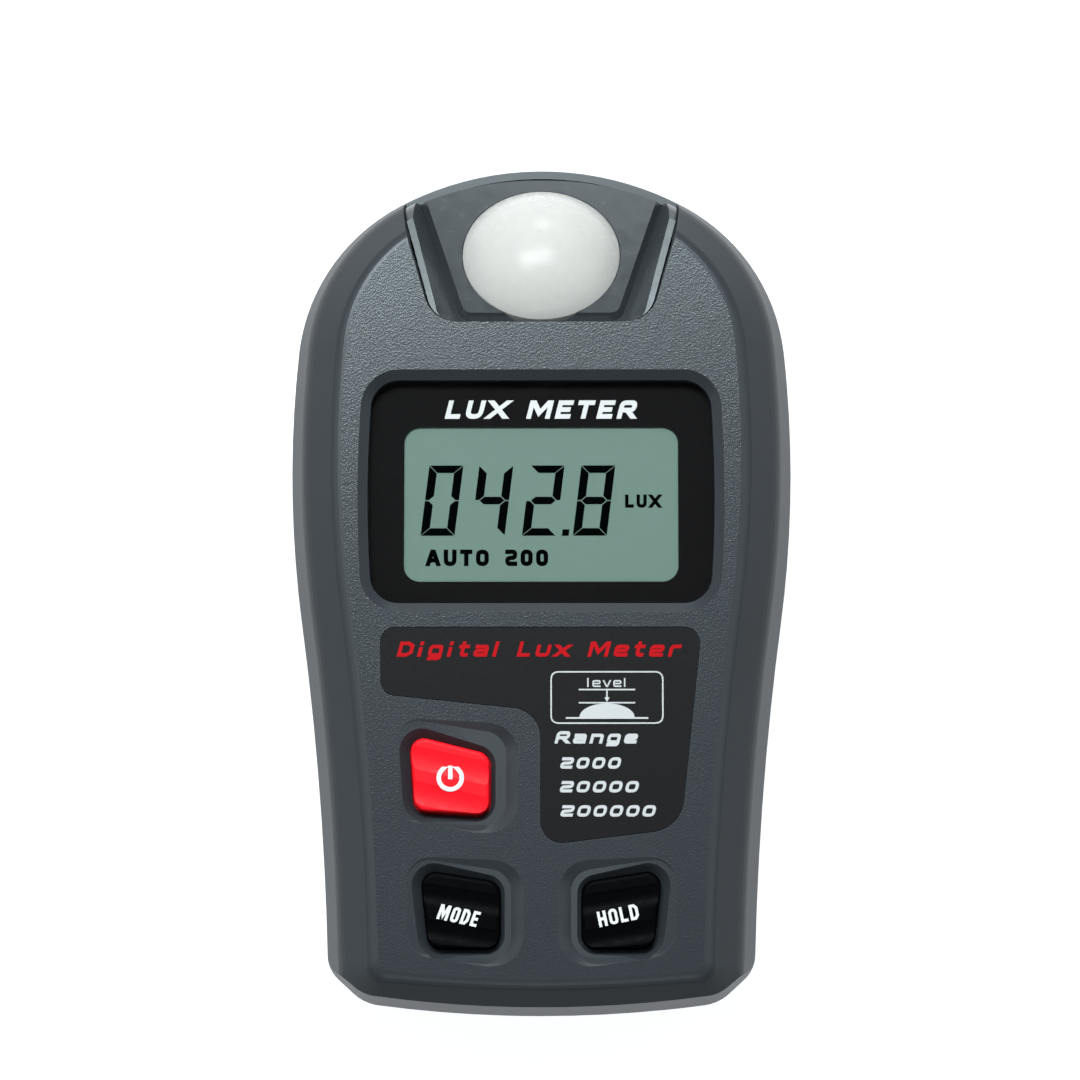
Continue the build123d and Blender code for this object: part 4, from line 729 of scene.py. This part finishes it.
def front_prints():
    title = block_text("LUX METER", (0.05, 20.0), (22.9, 2.2), 0.56, lean=14)
    keep(slab(title, MASK_TOP), "title_print", "case", WHITE_INK)
    name = block_text("Digital Lux Meter", (-0.15, -8.75), (33.4, 1.78), 0.42, LABEL_LEAN, gap=0.36)
    keep(slab(name, LABEL_TOP), "label_title", "case", RED_INK)
    heading = block_text("Range", (6.5, -19.08), (9.9, 1.45), 0.38, LABEL_LEAN, gap=0.3)
    keep(slab(heading, LABEL_TOP), "range_word", "case", GREY_INK)
    ranges = []
    for text, middle, width in RANGES:
        ranges += block_text(text, middle, (width, RANGE_HEIGHT), 0.36, LABEL_LEAN)
    keep(slab(ranges, LABEL_TOP), "range_figures", "case", GREY_INK)
    size = (4.95, LEGEND_HEIGHT)
    mode = block_text("MODE", (-9.5, LEGEND_Y), size, LEGEND_LINE, lean=8, turn=-LEGEND_TURN)
    keep(slab(mode, KEY_TOP), "mode_legend", "mode_button", WHITE_INK)
    size = (4.75, LEGEND_HEIGHT)
    hold = block_text("HOLD", (8.9, LEGEND_Y), size, LEGEND_LINE, turn=LEGEND_TURN)
    keep(slab(hold, KEY_TOP), "hold_legend", "hold_button", WHITE_INK)


def seen_from_behind(outlines):
    """The same outlines, turned so that they read from the back."""
    return [[Vector((-p[0], p[1])) for p in reversed(outline)] for outline in outlines]


RATING_LINE = 0.16
RATING_MARGIN = 1
RATING_CORNER = 0.8
RATING_RULE_Y = 0.6
RATING_RULE_INSET = 1.5


def rating_print():
    """The generic lettering of the rating plate on the back."""
    low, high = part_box("rating_label")
    x, y = -(low.x + high.x) / (2 * MM), (low.y + high.y) / (2 * MM)
    half_x = (high.x - low.x) / (2 * MM) - RATING_MARGIN
    half_y = (high.y - low.y) / (2 * MM) - RATING_MARGIN
    quads = ribbon(eased(frame_path(x, y, half_x, half_y), RATING_CORNER), RATING_LINE)
    left, right = x - half_x + RATING_RULE_INSET, x + half_x - RATING_RULE_INSET
    quads += ribbon([Vector((left, y + RATING_RULE_Y)), Vector((right, y + RATING_RULE_Y))], RATING_LINE)
    outlines = metres(quads)
    outlines += block_text("LUX METER", (x, y + 3), (17, 1.9), 0.36)
    outlines += block_text("2 x 1.5 V", (x, y - 2.4), (12.5, 1.7), 0.32)
    plate = slab(seen_from_behind(outlines), low.z - INK_DEPTH)
    keep(plate, "rating_print", "case", GREY_INK)


ARROW_RISE = 0.15
ARROW_FROM_FOOT = 12
ARROW_TIP = 4
ARROW_BARB = 4.5
ARROW_NECK = 1
ARROW_STEM_HALF = 1.5
ARROW_TAIL = 6


def door_arrow():
    """A raised arrow that shows which way the battery door slides."""
    low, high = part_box("battery_door")
    x, y = (low.x + high.x) / (2 * MM), low.y / MM + ARROW_FROM_FOOT
    neck, tail = y + ARROW_NECK, y + ARROW_TAIL
    right = [(ARROW_BARB, neck), (ARROW_STEM_HALF, neck), (ARROW_STEM_HALF, tail)]
    outline = [(x, y - ARROW_TIP)] + [(x + out, up) for out, up in right]
    outline += [(x - out, up) for out, up in reversed(right)]
    rise = ARROW_RISE * MM
    arrow = slab(metres([[Vector(p) for p in outline]]), low.z - rise, rise)
    keep(arrow, "door_arrow", "door", FINISHES["case_smooth"])


display_figures()
rating_print()
door_arrow()
front_prints()
power_symbol()
sensor_badge()


# ---------------------------------------------------------------- studio

FLOOR_SPAN = 6
GLOW_COLOUR = (0.94, 0.97, 1, 1)
GLOW_NEAR, GLOW_FAR = 0.085, 0.26
GLOW_MOST, GLOW_LEAST = 0.98, 0.3


def pale_floor():
    """A pale floor lit from below, fading away from the meter so that its bevels stay dark."""
    bpy.ops.mesh.primitive_plane_add(size=FLOOR_SPAN)
    floor = bpy.context.object
    floor.name = "floor"
    finish = Finish("backlit_floor", (0.28, 0.28, 0.28), 0.7, 0.1)
    finish.set("Emission Color", GLOW_COLOUR)
    away = finish.node("ShaderNodeVectorMath", operation="LENGTH")
    finish.feed(away.inputs[0], finish.place)
    span = away.outputs["Value"]
    glow = finish.ramp(span, GLOW_NEAR, GLOW_FAR, GLOW_MOST, GLOW_LEAST, smooth=True)
    finish.set("Emission Strength", glow)
    finish.shades(finish.noise(60, 2), 0.99, 1.01)
    finish.bump(finish.noise(2, 2), 0.01)
    floor.data.materials.append(finish.material)


def soft_light(name, place, target, size, power, colour):
    """A rectangular area light at place, turned towards target."""
    lamp = bpy.data.lights.new(name, "AREA")
    lamp.shape = "RECTANGLE"
    lamp.size, lamp.size_y = size
    lamp.energy = power
    lamp.color = colour
    light = bpy.data.objects.new(name, lamp)
    bpy.context.scene.collection.objects.link(light)
    light.location = place
    light.rotation_euler = (Vector(target) - Vector(place)).to_track_quat("-Z", "Y").to_euler()


WALL_TOP, CEILING_FOOT = 0.3, 0.9
WALL_GLOW, CEILING_GLOW = 0.25, 0.03


def studio_world():
    """A pale room under a dark ceiling, so that level glossy faces mirror little."""
    world = bpy.data.worlds.new("studio")
    bpy.context.scene.world = world
    world.use_nodes = True
    nodes, links = world.node_tree.nodes, world.node_tree.links
    place = nodes.new("ShaderNodeTexCoord")
    parts = nodes.new("ShaderNodeSeparateXYZ")
    links.new(place.outputs["Generated"], parts.inputs[0])
    height = nodes.new("ShaderNodeMapRange")
    height.interpolation_type = "SMOOTHSTEP"
    links.new(parts.outputs["Z"], height.inputs["Value"])
    height.inputs["From Min"].default_value = WALL_TOP
    height.inputs["From Max"].default_value = CEILING_FOOT
    height.inputs["To Min"].default_value = WALL_GLOW
    height.inputs["To Max"].default_value = CEILING_GLOW
    links.new(height.outputs["Result"], nodes["Background"].inputs["Strength"])


CAMERA_DISTANCE = 0.5
CAMERA_TILT = math.radians(8)
CAMERA_TURN = math.radians(1.8)
CAMERA_TARGET = Vector((-0.17, 5.775, 13.0)) * MM
CAMERA_LENS = 138.94


def photo_camera():
    lens = bpy.data.cameras.new("camera")
    lens.lens = CAMERA_LENS
    lens.sensor_width = 36
    lens.clip_start = 0.01
    camera = bpy.data.objects.new("camera", lens)
    bpy.context.scene.collection.objects.link(camera)
    flat = math.sin(CAMERA_TILT)
    back = Vector((flat * math.sin(CAMERA_TURN), -flat * math.cos(CAMERA_TURN), math.cos(CAMERA_TILT)))
    right = Vector((0, 1, 0)).cross(back).normalized()
    up = back.cross(right)
    turned = Matrix((right, up, back)).transposed().to_4x4()
    camera.matrix_world = Matrix.Translation(CAMERA_TARGET + CAMERA_DISTANCE * back) @ turned
    bpy.context.scene.camera = camera


CENTRE = (CAD_BOX[0] + CAD_BOX[1]) / 2
WHITE = (1, 1, 1)
COOL_WHITE = (0.97, 0.99, 1)

# Each light: where it stands from the meter's middle, its size, its power in watts, its colour.
LIGHTS = {
    "key_light": ((-0.06, 0.26, 0.49), (0.34, 0.18), 4.0, COOL_WHITE),
    "head_light": ((0.02, 0.48, 0.17), (0.12, 0.05), 0.5, WHITE),
    "right_light": ((0.5, 0.05, 0.42), (0.5, 0.6), 0.9, WHITE),
    "left_light": ((-0.5, 0.05, 0.42), (0.5, 0.6), 0.9, WHITE),
    "foot_light": ((0.0, -0.5, 0.5), (0.5, 0.3), 0.7, WHITE),
}

dress_nodes()
pale_floor()
for light_name, (offset, size, power, colour) in LIGHTS.items():
    soft_light(light_name, CENTRE + Vector(offset), CENTRE, size, power, colour)
studio_world()
photo_camera()
bpy.context.scene.view_settings.view_transform = "Standard"
bpy.context.scene.view_settings.look = "None"
